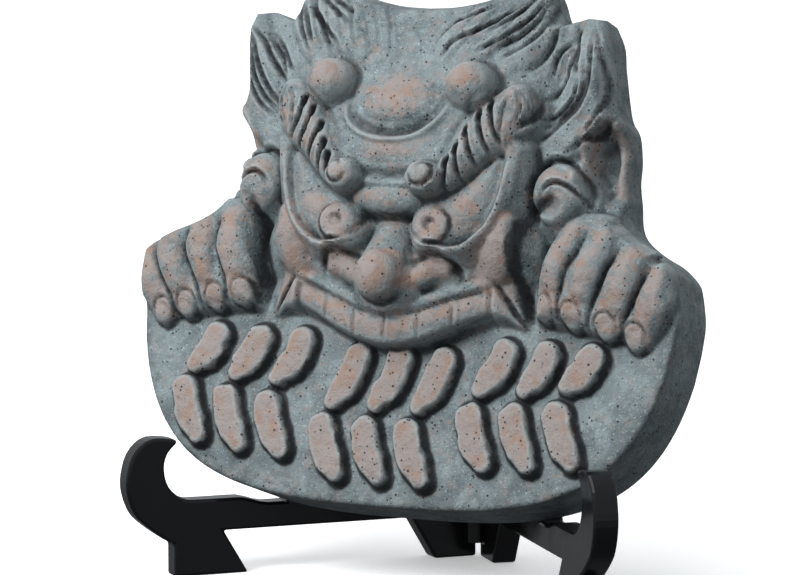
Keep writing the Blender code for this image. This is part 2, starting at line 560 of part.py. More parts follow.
def side_frame(name, side, profile, surface, parent):
    """One side frame of the stand, standing at its opening angle, with its half of the hinge."""
    mesh = bmesh.new()
    inner = []
    outer = []
    for s, z in profile:
        x, y = on_frame(s, HINGE_OFFSET)
        inner.append(mesh.verts.new((side * x * MM, y * MM, z * MM)))
        x, y = on_frame(s, HINGE_OFFSET + FRAME_THICKNESS)
        outer.append(mesh.verts.new((side * x * MM, y * MM, z * MM)))
    mesh.faces.new(inner)
    mesh.faces.new(outer[::-1])
    for i in range(len(profile)):
        j = (i + 1) % len(profile)
        mesh.faces.new([inner[j], inner[i], outer[i], outer[j]])
    bmesh.ops.recalc_face_normals(mesh, faces=mesh.faces)
    frame = add_object(name, mesh, surface)
    frame.parent = parent
    bevel = frame.modifiers.new("rounded edges", "BEVEL")
    bevel.width = FRAME_BEVEL * MM
    bevel.segments = 2
    bevel.limit_method = "ANGLE"
    bevel.angle_limit = math.radians(40)
    first = FOOT_HEIGHT - BARREL_LENGTH + 1.5
    levels = [(first + i * BARREL_LENGTH + GAP, first + (i + 1) * BARREL_LENGTH) for i in range(3)]
    own = [levels[0], levels[2]] if side < 0 else [levels[1]]
    others = [levels[1]] if side < 0 else [levels[0], levels[2]]
    for i, (low, high) in enumerate(others):
        cut = cylinder(f"{name}_clearance_{i}", BARREL_RADIUS + HINGE_PLAY, low - GAP - HINGE_PLAY,
                       high + GAP + HINGE_PLAY, frame)
        combine(frame, cut, "DIFFERENCE")
    for i, (low, high) in enumerate(own):
        barrel = cylinder(f"{name}_barrel_{i}", BARREL_RADIUS, low, high, frame)
        combine(frame, barrel, "UNION")
    middle_low, middle_high = levels[1]
    for i, (end, turn) in enumerate(((middle_low, 1), (middle_high, -1))):
        if side < 0:
            reach = sorted((end - turn * 3.0, end + turn * PEG_LENGTH))
            peg = cylinder(f"{name}_peg_{i}", PEG_RADIUS, *reach, frame)
            combine(frame, peg, "UNION")
        else:
            reach = sorted((end - turn * 3.0, end + turn * (PEG_LENGTH + HINGE_PLAY)))
            hole = cylinder(f"{name}_socket_{i}", PEG_RADIUS + HINGE_PLAY, *reach, frame)
            combine(frame, hole, "DIFFERENCE")
    frame.data.shade_smooth()
    frame.data.set_sharp_from_angle(angle=math.radians(35))
    return frame


def clear_scene():
    for old in list(bpy.data.objects):
        bpy.data.objects.remove(old, do_unlink=True)


def main():
    clear_scene()
    clay = material("fired clay, smoked grey", (0.20, 0.24, 0.26), 0.62)
    plastic = material("black gloss plastic", (0.012, 0.012, 0.014), 0.22)
    root = bpy.data.objects.new("roof_end_tile_on_stand", None)
    bpy.context.collection.objects.link(root)

    back_y, base_z, hook_inner = tile_place()
    tile = add_object("demon_tile", tile_mesh(GRID_STEP / SCALE), clay)
    tile.parent = root
    tile.location = (0.0, back_y * MM, base_z * MM)
    tile.rotation_euler = (-LEAN, 0.0, 0.0)
    thin = tile.modifiers.new("thinned", "DECIMATE")
    thin.decimate_type = "COLLAPSE"
    thin.ratio = min(1.0, TILE_TRIANGLES / len(tile.data.polygons))
    thin.use_collapse_triangulate = True
    tile.data.shade_smooth()

    profile = frame_profile(back_y, base_z, hook_inner)
    frames = [side_frame("stand_side_left", -1, profile, plastic, root),
              side_frame("stand_side_right", 1, profile, plastic, root)]

    bpy.context.view_layer.update()
    graph = bpy.context.evaluated_depsgraph_get()
    corners = []
    for piece in [tile] + frames:
        shown = piece.evaluated_get(graph)
        corners += [shown.matrix_world @ vert.co for vert in shown.data.vertices]
    middle_x, middle_y = (0.5 * (min(at[k] for at in corners) + max(at[k] for at in corners)) for k in (0, 1))
    root.matrix_world = Matrix.Translation((-middle_x, -middle_y, 0.0))
    bpy.context.view_layer.update()


main()
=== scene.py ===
"""The looks of a roof end tile with a demon's face, leaning in its folding plate stand.

The tile is carved again here in finer detail than its solid has, on the same outline and the same board. Its
own axes are u to the right, v up its face and w out of its back, in millimetres. The stand's two sides are
the CAD's own solids, with a material of their own.
"""
import math

import bmesh
import bpy
import numpy as np
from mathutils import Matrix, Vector
from mathutils.geometry import delaunay_2d_cdt


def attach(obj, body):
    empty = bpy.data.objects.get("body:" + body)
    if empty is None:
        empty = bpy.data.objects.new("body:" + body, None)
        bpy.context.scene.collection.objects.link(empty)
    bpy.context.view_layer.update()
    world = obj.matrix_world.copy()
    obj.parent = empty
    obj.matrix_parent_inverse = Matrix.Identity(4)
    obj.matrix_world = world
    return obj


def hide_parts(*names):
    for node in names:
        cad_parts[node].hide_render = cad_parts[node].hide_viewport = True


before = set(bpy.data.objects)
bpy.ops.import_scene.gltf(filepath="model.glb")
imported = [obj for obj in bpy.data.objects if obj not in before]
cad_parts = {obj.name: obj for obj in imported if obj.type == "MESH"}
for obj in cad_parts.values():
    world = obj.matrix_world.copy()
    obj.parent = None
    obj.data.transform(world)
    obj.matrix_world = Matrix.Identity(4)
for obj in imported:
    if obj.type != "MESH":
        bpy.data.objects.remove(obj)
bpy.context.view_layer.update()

MM = 0.001

# where the tile leans in its stand
TILE_ORIGIN = (1.877, -8.123, 20.776)   # middle of the tile's lower back edge
TILE_LEAN = math.radians(17.7)

# the board
BOARD_THICKNESS = 24.9
EDGE_ROUND = 1.6
FOOT_REACH = 100.0          # half the width at which the lower edge would stand upright
FOOT_ROUND = 27.0           # how strongly the lower edge turns up on its way there
FOOT_LIMIT = 0.985          # share of the reach at which the turning up is cut short
FOOT_END = math.radians(71.0)

# the back
TOP_THICKNESS = 8.5         # of the tile at its crown
BACK_SLOPE_START = 76.0     # the back is flat up to here
BACK_SLOPE_END = 164.0      # and has sloped forward to the crown's thickness here
BACK_STEP = 4.0
BACK_MARGIN = 3.0

# brush strokes
STROKE_HEIGHT = 4.6
STROKE_WIDTH = 10.2
STROKE_START = 0.66         # share of the width that a stroke starts with
STROKE_DRAFT = 1.6          # width over which a stroke's flank falls
STROKE_LENGTH = 15.0
STROKE_TOP = 52.0           # no stroke reaches higher, so the fingertips stay clear
STROKE_SLANT = 7.0
STROKE_BEND = 1.2
STROKE_PITCH = 15.4
STROKE_ROW_GAP = 9.0
STROKES_ABREAST = 3
STROKE_GROUPS = [(-54.0, 15.0), (-2.0, 9.0), (50.0, 15.5)]      # a group's middle and its lower row's height

# fineness
RASTER = 0.4                # spacing of the sheets on which the carving is worked out
RASTER_U = (-102.0, 102.0)
RASTER_V = (-3.0, 179.0)
MESH_STEP = 0.6
WALL_ROWS = 9
RIM_RINGS = (0.0, 0.2, 0.55, 1.0)       # shares of the edge's rounding at which rings of points lie
SOFT_CREASE = 0.45          # how softly two forms meet
FAR = 99.0

# the outline's right half, from the end of the lower edge up to the crown's middle; the left mirrors it
SIDE = [(95.8, 60), (97, 69), (96.4, 76), (95.2, 81.6), (88.5, 87.2), (80.5, 91), (73.5, 95.5), (70.5, 100),
        (69.8, 106), (68.6, 114), (69.2, 122), (69.0, 129), (66.8, 133.5), (66.4, 141), (66.4, 150),
        (66.2, 157), (63.6, 163.6)]
TUFT_TOP = [(57.5, 164.2), (48.8, 161.4)]
CROWN = [(47, 166.5), (45, 171.5), (41.5, 175), (30, 172.4), (20, 169.2), (10, 167.2), (0, 166.6)]
# how far the whole outline strays sideways at these heights
STRAY_AT = [0, 60, 80, 100, 118, 135, 150, 165]
STRAY = [0, -0.9, -3.0, 0.8, 0.9, -1.5, -4.2, -5.8]

# colours of the clay, with painted glints, painted highlight and painted shade among them
GREY_DARK = (0.100, 0.130, 0.140)
GREY_LIGHT = (0.168, 0.208, 0.220)
GREY_PATCH = (0.235, 0.290, 0.300)
# painted glints: pale specks for the sparkle of the clay's sheen
GREY_PAINTED_GLINT = (0.45, 0.53, 0.55)
# painted highlight on raised places
GREY_PAINTED_HIGHLIGHT = (0.30, 0.34, 0.35)
RUST_DEEP = (0.262, 0.184, 0.148)
RUST_PALE = (0.258, 0.224, 0.211)
# near-black for soot and painted shade in grooves, recesses and at the feet of raised forms
SOOT_AND_SHADE = (0.009, 0.010, 0.012)
# painted shade for places that lie below their surroundings
HOLLOW_SHADE = (0.018, 0.021, 0.024)
GRAIN = (0.03, 0.032, 0.035)
PIT = (0.006, 0.006, 0.007)

# the photograph's view
VIEW_AZIMUTH = math.radians(26.31)
VIEW_ELEVATION = math.radians(6.26)
VIEW_DISTANCE = 1333.0
VIEW_PIVOT = (1.877, 42.189, 0.0)
VIEW_SHIFT = (-25.0, 91.6)  # of the view's middle from the pivot, to the right and up
FOCAL_LENGTH = 3917.0       # in pixels of the photograph
PHOTO_WIDTH = 805.0         # in pixels
SENSOR_WIDTH = 36.0

# lights, with places in metres
SKY_COLOUR = (0.92, 0.96, 1.0, 1.0)
SKY_FADE = (("From Min", -0.35), ("From Max", 0.12), ("To Min", 0.12), ("To Max", 0.52))
SUN_ENERGY = 1.6
SUN_ANGLE = math.radians(60)
SUN_SIDE = (-0.18, -0.50, 1.0)
KEY_PLACE = (-0.25, -0.62, 0.48)
KEY_TARGET = (-0.02, -0.03, 0.09)
KEY_SIZE = 0.26
KEY_POWER = 5.0
FLOOR_REACH = 14.0
FLOOR_GLOW = 0.40


def smoothstep(x):
    """A soft step from 0 to 1."""
    x = np.clip(x, 0.0, 1.0)
    return x * x * (3.0 - 2.0 * x)


def foot_height(u):
    """Height of the board's lower edge at a distance u from the middle."""
    share = np.clip(np.abs(u) / FOOT_REACH, 0.0, FOOT_LIMIT)
    return -FOOT_ROUND * np.log(1.0 - share ** 3)


def lengths_along(points):
    """How far along a path each of its points is."""
    return np.concatenate([[0.0], np.cumsum(np.linalg.norm(np.diff(points, axis=0), axis=1))])


def curve_through(points, count):
    """A smooth curve through the given points, evenly spaced along its length."""
    points = np.array(points, float)
    ends = np.vstack([2 * points[0] - points[1], points, 2 * points[-1] - points[-2]])
    out = []
    for i in range(len(points) - 1):
        a, b, c, d = ends[i:i + 4]
        t = np.linspace(0.0, 1.0, 12, endpoint=False)[:, None]
        out.append(0.5 * (2 * b + (c - a) * t + (2 * a - 5 * b + 4 * c - d) * t ** 2
                          + (3 * b - a - 3 * c + d) * t ** 3))
    out = np.vstack(out + [points[-1:]])
    run = lengths_along(out)
    at = np.linspace(0.0, run[-1], count)
    return np.stack([np.interp(at, run, out[:, k]) for k in range(2)], 1)


def outline(step):
    """The tile's outline as a closed loop of points, anticlockwise from the foot's middle."""
    foot_u = FOOT_REACH * np.sin(np.linspace(0.0, FOOT_END, 40))
    foot = np.stack([foot_u, foot_height(foot_u)], 1)
    side = curve_through(SIDE, 60)
    crown = curve_through(CROWN, 40)
    right = np.vstack([foot, side, np.array(TUFT_TOP, float), crown])
    left = right[::-1][1:-1] * (-1.0, 1.0)
    loop = np.vstack([right, left])
    loop[:, 0] += np.interp(loop[:, 1], STRAY_AT, STRAY)
    closed = np.vstack([loop, loop[:1]])
    run = lengths_along(closed)
    at = np.linspace(0.0, run[-1], int(run[-1] / step), endpoint=False)
    return np.stack([np.interp(at, run, closed[:, k]) for k in range(2)], 1)


def distance_to_path(u, v, path):
    """Distance to a path, and the share of its length at the nearest point."""
    best = np.full(u.shape, 1e9)
    share = np.zeros(u.shape)
    count = len(path) - 1
    for i in range(count):
        (au, av), (bu, bv) = path[i], path[i + 1]
        du, dv = bu - au, bv - av
        along = np.clip(((u - au) * du + (v - av) * dv) / (du * du + dv * dv + 1e-12), 0.0, 1.0)
        away = np.hypot(u - au - along * du, v - av - along * dv)
        near = away < best
        best = np.where(near, away, best)
        share = np.where(near, (i + along) / count, share)
    return best, share


def inside(points, loop):
    """Which points lie inside a closed loop."""
    result = np.zeros(len(points), bool)
    following = np.roll(loop, -1, axis=0)
    for (au, av), (bu, bv) in zip(loop, following):
        crosses = (av > points[:, 1]) != (bv > points[:, 1])
        at = au + (points[:, 1] - av) * (bu - au) / (bv - av if bv != av else 1e-9)
        result ^= crosses & (points[:, 0] < at)
    return result


def unevenness(u, v, size, seed):
    """Smooth random heights of about unit size, the same on every run."""
    table = np.random.default_rng(seed).standard_normal((400, 400))
    a, b = u / size + 200.0, v / size + 80.0
    i, j = np.floor(a).astype(int), np.floor(b).astype(int)
    p, q = smoothstep(a - i), smoothstep(b - j)
    low = table[i, j] * (1 - p) + table[i + 1, j] * p
    high = table[i, j + 1] * (1 - p) + table[i + 1, j + 1] * p
    return low * (1 - q) + high * q


def blur(sheet, sigma):
    """Evens out a sheet over a distance in millimetres."""
    reach = int(3 * sigma / RASTER) + 1
    weights = np.exp(-0.5 * (np.arange(-reach, reach + 1) * RASTER / sigma) ** 2)
    weights /= weights.sum()
    for axis in (0, 1):
        wide = np.pad(sheet, [(reach, reach) if k == axis else (0, 0) for k in (0, 1)], mode="edge")
        size = sheet.shape[axis]
        sheet = sum(w * np.take(wide, range(k, k + size), axis=axis) for k, w in enumerate(weights))
    return sheet


class Carving:
    """The tile's front as heights over its back, with the rust that its forms carry and the soot and painted
    shade in their grooves and hollows.
    """

    def __init__(self, u, v):
        self.u = u - np.interp(v, STRAY_AT, STRAY) * smoothstep((np.abs(u) - 40.0) / 25.0) + 0.015 * v
        self.v = v
        self.w = np.full(u.shape, BOARD_THICKNESS)
        self.rust = np.zeros(u.shape)
        # soot and painted shade: how dark the grooves, gaps and feet of forms are painted
        self.soot = np.zeros(u.shape)

    def both(self, shape, *args, **more):
        """The same shape on the right and mirrored on the left."""
        shape(*args, mirror=1, **more)
        shape(*args, mirror=-1, **more)

    def local(self, centre, radii, turn, mirror):
        """Distance from a centre as a share of an ellipse's radii."""
        c, s = math.cos(math.radians(turn)), math.sin(math.radians(turn))
        du, dv = self.u * mirror - centre[0], self.v - centre[1]
        return np.hypot((du * c + dv * s) / radii[0], (dv * c - du * s) / radii[1])

    def along(self, points, reach, mirror):
        """The points near a path, their distance from it and how far along it they are."""
        path = curve_through(np.array(points, float) * (mirror, 1.0), 20)
        low, high = path.min(axis=0) - reach, path.max(axis=0) + reach
        here = (self.u > low[0]) & (self.u < high[0]) & (self.v > low[1]) & (self.v < high[1])
        d, share = distance_to_path(self.u[here], self.v[here], path)
        return here, d, share

    def raise_to(self, here, height, softness=SOFT_CREASE):
        """Raises the surface to a height, with a soft crease where the two meet."""
        low = self.w[here]
        self.w[here] = 0.5 * (low + height + np.sqrt((low - height) ** 2 + softness ** 2)) \
            - 0.5 * softness * np.exp(-np.abs(low - height) / softness)

    def dome(self, centre, radii, height, turn=0, mirror=1, power=1.0, rust=0.0, soot=0.0):
        """Adds a soft swelling, or a hollow where the height is below zero."""
        d = self.local(centre, radii, turn, mirror)
        share = np.clip(1.0 - d * d, 0.0, 1.0)
        self.w += height * share ** power
        self.rust += rust * share
        self.soot += soot * share

    def ball(self, centre, radii, top, drop, mirror=1, rust=0.0, fall=2.0, blend=SOFT_CREASE):
        """Raises the surface to a round knob whose highest point is at top above the board."""
        d = self.local(centre, radii, 0, mirror)
        here = d < 1.6
        round_top = np.sqrt(np.clip(1.0 - d[here] ** 2, 0.0, 1.0))
        outside = np.clip(d[here] - 1.0, 0.0, 1.0) * min(radii) * fall
        self.raise_to(here, BOARD_THICKNESS + top - drop + drop * round_top - outside, blend)
        self.rust[here] += rust * round_top

    def groove(self, points, width, depth, mirror=1, taper=0.4, soot=0.5, lip=0.0):
        """Cuts a rounded groove along a path, fading at both ends; a lip is pressed up on both sides."""
        here, d, share = self.along(points, 4.0 * width, mirror)
        fade = np.sin(np.pi * np.clip(share, 0.02, 0.98)) ** taper
        cut = np.exp(-(d / width) ** 2)
        raised = np.exp(-((d - 1.9 * width) / width) ** 2)
        self.w[here] += fade * (lip * raised - depth * cut)
        # painted shade, with some soot, darkens the groove's floor
        self.soot[here] += soot * fade * cut

    def rib(self, points, radius, height, mirror=1, taper=0.35, rust=0.0):
        """Adds a rounded ridge along a path; taper is the share of its length over which each end fades."""
        here, d, share = self.along(points, radius * 1.3, mirror)
        form = np.clip(1.0 - (d / radius) ** 2, 0.0, 1.0) ** 0.75
        fade = np.clip(np.minimum(share, 1.0 - share) / taper, 0.0, 1.0) ** 0.5
        self.w[here] += height * form * fade
        self.rust[here] += rust * form * fade

    def sausage(self, points, radii, tops, drop, mirror=1, rust=0.0, fall=2.0, blend=SOFT_CREASE):
        """Raises the surface to a round bar along a path; radii and tops follow its length."""
        radii, tops = np.atleast_1d(radii), np.atleast_1d(tops)
        here, d, share = self.along(points, 1.6 * radii.max(), mirror)
        size = np.interp(share, np.linspace(0, 1, len(radii)), radii)
        crest = np.interp(share, np.linspace(0, 1, len(tops)), tops)
        form = np.sqrt(np.clip(1.0 - (d / size) ** 2, 0.0, 1.0))
        outside = np.clip(d - size, 0.0, FAR) * fall
        self.raise_to(here, BOARD_THICKNESS + crest - drop + drop * form - outside, blend)
        self.rust[here] += rust * form ** 3

    def plate(self, points, top_near, top_far, edge, drop, mirror=1, rust=0.0, fall=6.0):
        """Raises the inside of a closed outline to a top that slopes from near the middle line outwards."""
        path = curve_through(np.array(points + points[:1], float), 60)
        near_u, far_u = path[:, 0].min(), path[:, 0].max()
        u = self.u * mirror
        here = (u > near_u - 3) & (u < far_u + 3)
        here &= (self.v > path[:, 1].min() - 3) & (self.v < path[:, 1].max() + 3)
        place = np.stack([u[here], self.v[here]], 1)
        d = distance_to_path(place[:, 0], place[:, 1], path)[0]
        d = np.where(inside(place, path[:-1]), d, -d)
        form = np.sqrt(1.0 - (1.0 - np.clip(d / edge, 0.0, 1.0)) ** 2)
        top = top_near + (top_far - top_near) * (place[:, 0] - near_u) / (far_u - near_u)
        self.raise_to(here, BOARD_THICKNESS + top - drop + drop * form + fall * np.minimum(d, 0.0))
        self.rust[here] += rust * form * (d > 0)

    def pad(self, points):
        """Raises a flat-topped brush stroke that swells from its start, only where the board is bare."""
        here, d, share = self.along(points, STROKE_WIDTH, 1)
        half = 0.5 * STROKE_WIDTH * np.interp(share, [0.0, 0.3], [STROKE_START, 1.0])
        wobble = 0.35 * unevenness(self.u[here], self.v[here], 3.5, 3)
        form = smoothstep((half + wobble - d) / STROKE_DRAFT + 0.5)
        ground = self.w[here] < BOARD_THICKNESS + 2.0
        form *= smoothstep((BOARD_THICKNESS + 3.5 - self.w[here]) / 2.0)
        crown = 0.35 * np.clip(1.0 - (d / half) ** 2, 0.0, 1.0)
        self.w[here] = np.maximum(self.w[here], BOARD_THICKNESS + (STROKE_HEIGHT + crown) * form)
        self.rust[here] += 1.3 * ground * smoothstep((half + wobble - d) / STROKE_DRAFT)
        # painted shadow in a ring at the stroke's foot
        self.soot[here] += 1.6 * ground * np.exp(-((d - half - 0.45) / 0.6) ** 2)


def head_ground(r):
    """The head rises from the board like a thick mask, highest along the brows and forehead."""
    u, v = r.u, r.v
    lower_edge = 53.5 + 10.0 * (np.abs(u) / 40.0) ** 2
    half = np.interp(v, [50, 75, 95, 110, 125, 150], [45, 45.5, 47, 50, 52, 54])
    face = np.clip(1.0 - (np.abs(u) / half) ** 2.5, 0.0, 1.0) ** 0.75
    rise = smoothstep((v - lower_edge) / 4.0)
    heights_at = [50, 58, 64, 72, 80, 88, 93, 97, 103, 112, 124, 131, 138, 145, 158, 172]
    heights = [8, 9, 10.5, 11, 12, 13.5, 14.5, 20, 24, 24.5, 24.5, 22, 17, 13, 8, 3]
    droop = np.interp(np.abs(u), [10, 15, 24, 33, 44], [0, 1.5, 5, 13, 20])
    level = v - droop * smoothstep((v - 82.0) / 8.0) * smoothstep((136.0 - v) / 14.0)
    r.w += face * rise * np.interp(level, heights_at, heights)
    hairline = np.interp(np.abs(u), [30, 48], [130, 100])
    hair_ground = smoothstep((v - hairline) / 20.0) * np.clip(1.0 - (np.abs(u) / 74.0) ** 4, 0.0, 1.0)
    r.w += 4.0 * hair_ground * smoothstep((178.0 - v) / 30.0)


def ears_and_arms(r):
    """Hooked ears, the gaps between face and hands with painted shadow in them, and the upper arms' hollowed
    flanks.
    """
    r.both(r.ball, (53.8, 103.3), (8.2, 10.2), 14.0, 6.5, rust=0.35, fall=1.6)
    r.both(r.dome, (52.6, 108.4), (4.6, 2.8), 0.6, rust=1.1)
    ear_line = [(45.4, 97.5), (45.0, 104), (45.8, 109), (47.8, 112.8), (51.0, 114.8), (54.6, 114.8),
                (58.5, 112.8), (61.6, 109), (63.3, 104.8), (63.7, 100.5)]
    r.both(r.groove, ear_line, 0.8, 2.2, soot=1.0, lip=0.7, taper=0.2)
    ear_fold = [(49.2, 102.4), (51.3, 105.0), (54.1, 106.3), (57.6, 105.7), (60.8, 103.5), (63.1, 100.7)]
    r.both(r.groove, ear_fold, 0.7, 2.4, soot=1.0, lip=0.8)
    r.dome((52.5, 99.0), (4.6, 4.0), -2.2, soot=0.3)
    right_recess = [(52.5, 101.4), (46.4, 96.8), (42.8, 88.4), (42.4, 79.2), (43.9, 71.1), (46.4, 61.6)]
    left_recess = [(-56.9, 98.5), (-52.8, 92.4), (-50.2, 84.7), (-49.3, 76.4), (-49.7, 67.1)]
    # these gaps carry painted shadow as well as their cut
    r.groove(right_recess, 2.0, 5.0, soot=1.3, taper=0.4)
    r.groove(left_recess, 2.2, 5.0, soot=1.3, taper=0.4)
    flank = smoothstep((r.v - 101.0) / 7.0) * smoothstep((131.0 - r.v) / 10.0)
    edge = 67.3 - np.abs(r.u)
    r.w -= flank * 8.0 * smoothstep((8.5 - edge) / 9.5)
    r.both(r.dome, (63.9, 116.5), (3.6, 9.5), -3.6, turn=-4, power=0.6, soot=0.1)
    r.both(r.rib, [(60.5, 107), (60.2, 115), (61.2, 122), (63.5, 127), (67.5, 130.5)], 2.2, 2.6, rust=1.1,
           taper=0.15)
    r.both(r.rib, [(68.8, 104), (68.6, 116), (69.0, 130)], 1.8, 1.8, rust=1.1, taper=0.1)


def hair(r):
    """Locks that rise from the forehead to the crown's two peaks, a tuft at each side, groove by groove."""
    r.both(r.rib, [(16, 145), (25, 152), (34, 161), (39, 171)], 5.5, 2.6)
    r.both(r.rib, [(30, 143), (39, 150), (44, 160), (45.5, 170)], 5.0, 3.0)
    r.both(r.rib, [(8, 143), (12, 152), (19, 161), (28, 169)], 5.0, 2.2)
    r.both(r.sausage, [(50, 120), (56, 129), (60, 142), (61.0, 161)], [7, 9, 9, 5], [10, 10, 9, 5], 4.5,
           fall=1.2)
    right_locks = [[(36.4, 170.2), (32.9, 166.7), (29.3, 163.1), (24.8, 159.3), (19.3, 155.4),
                    (15.1, 152.5), (12.5, 149.1), (11.4, 145.8)],
                   [(41.0, 171.5), (39.3, 166.8), (37.5, 161.9), (33.2, 156.6), (28.7, 152.3),
                    (24.6, 149.4), (21.3, 147.4)],
                   [(43.2, 172.2), (43.3, 167.2), (43.4, 162.7), (42.6, 157.1), (38.8, 151.8),
                    (34.8, 148.5), (30.6, 145.6)],
                   [(45.5, 172.2), (46.1, 167.2), (46.6, 162.8), (46.8, 157.2), (45.8, 151.5),
                    (43.9, 146.8), (39.6, 141.6)],
                   [(24.6, 166.0), (20.2, 163.6), (15.9, 161.2), (11.2, 158.7), (8.3, 153.9), (7.3, 151.6)],
                   [(37.9, 171.1), (35.4, 166.8), (33.3, 163.2), (29.3, 159.4), (25.2, 156.0)],
                   [(41.9, 172.0), (41.1, 167.1), (40.1, 161.3), (36.8, 156.0), (32.3, 152.2),
                    (28.1, 149.7)]]
    left_locks = [[(-43.9, 170.2), (-42.3, 165.5), (-41.4, 162.8), (-37.7, 158.6), (-34.0, 154.8),
                   (-30.5, 152.0), (-28.0, 149.1)],
                  [(-41.1, 168.3), (-37.1, 165.3), (-33.6, 162.7), (-29.5, 159.9), (-26.8, 158.0)],
                  [(-47.6, 168.1), (-46.2, 163.3), (-44.2, 156.6), (-41.3, 150.8), (-39.2, 147.0)],
                  [(-45.7, 165.7), (-43.8, 161.1), (-41.4, 155.4), (-38.6, 150.1)],
                  [(-42.4, 164.1), (-39.5, 160.0), (-35.5, 154.3), (-32.3, 150.0), (-30.4, 147.7)],
                  [(-36.7, 167.9), (-32.4, 165.4), (-27.9, 162.8)]]
    for lock in right_locks + left_locks:
        r.groove(lock, 0.65, 2.0, soot=1.0, lip=0.6)
    for side in (-1, 1):
        for i in range(7):
            share = (i + 0.5) / 7.0
            root = (5.0 + 29.0 * share, 146.0 + 1.0 * share)
            middle = (8.0 + 33.0 * share, 156.0 - 1.0 * share)
            tip = (17.0 + 29.0 * share, 170.0 - 3.0 * share)
            r.groove([root, middle, tip], 0.45, 1.1, mirror=side, soot=0.5, lip=0.3)
    right_tuft = [[(62.1, 158.9), (62.4, 152.4), (62.6, 145.4), (61.7, 138.9), (59.0, 132.3),
                   (54.2, 127.6), (49.4, 123.2), (45.0, 118.9)],
                  [(63.4, 158.9), (66.1, 149.2), (67.4, 141.8), (66.6, 134.4), (63.3, 127.8),
                   (58.0, 121.2)],
                  [(69.2, 130.6), (66.2, 127.3), (63.2, 124.0), (58.7, 120.6), (55.2, 117.7)],
                  [(55.8, 155.8), (57.0, 151.6), (57.0, 147.4), (57.3, 143.2)],
                  [(53.5, 152.4), (54.2, 146.8), (53.0, 141.2), (50.1, 136.5), (47.5, 133.6)],
                  [(58.0, 140.4), (57.1, 135.7), (54.2, 131.5), (50.6, 128.6), (46.9, 126.6)],
                  [(52.4, 154.5), (49.3, 151.1), (47.9, 146.9), (47.6, 141.3)],
                  [(60.7, 147.9), (60.5, 139.5), (57.9, 133.0), (53.1, 128.2), (47.7, 124.5)]]
    left_tuft = [[(-63.2, 158.7), (-63.3, 156.7), (-63.6, 151.3), (-62.3, 144.1), (-59.9, 136.9),
                  (-56.3, 130.2), (-50.9, 126.0)],
                 [(-62.9, 157.7), (-61.9, 155.9), (-59.3, 151.1), (-57.6, 144.9), (-55.4, 138.7),
                  (-51.9, 133.0), (-47.1, 128.8)],
                 [(-60.5, 157.5), (-59.2, 156.0), (-55.8, 152.2), (-53.3, 146.4), (-50.8, 141.7),
                  (-46.6, 136.0)],
                 [(-54.0, 155.6), (-52.8, 154.0), (-50.1, 150.2), (-47.8, 144.9), (-45.8, 141.6)],
                 [(-55.4, 155.2), (-54.3, 153.5), (-50.9, 148.2), (-49.1, 142.9), (-48.2, 140.1)],
                 [(-62.7, 155.9), (-62.1, 154.0), (-59.8, 146.3), (-58.1, 138.6), (-54.5, 132.4),
                  (-50.2, 128.2)]]
    for lock in right_tuft + left_tuft:
        r.groove(lock, 0.65, 2.3, soot=1.1, lip=0.7)
    r.groove([(54.6, 158.5), (55.2, 152.4), (55.4, 146.5)], 0.9, 2.6, soot=1.2, taper=0.2)


def forehead(r):
    """Horns, the jewel between them and the crease that holds it."""
    r.dome((-0.5, 131.0), (13.5, 9.5), 3.4, power=0.8, rust=1.0)
    crease = [(-16.4, 130.5), (-15.2, 124.6), (-11, 120.6), (-5.3, 118.6), (0, 118.1), (5.4, 119.0),
              (10.2, 121.5), (14.6, 125.9), (16.6, 131.2)]
    r.groove(crease, 1.4, 2.6, soot=0.55, taper=0.3)
    r.rib([(a * 1.1, b - 2.3) for a, b in crease], 1.4, 1.6, taper=0.2)
    r.both(r.ball, (25.2, 135.0), (8.3, 8.2), 30.0, 8.6, rust=0.4, fall=9.0)
    r.both(r.dome, (23.5, 137.5), (6.5, 6.0), 0.1, rust=1.5)
    r.dome((-1, 113.5), (14, 5.5), 1.2, rust=0.75)


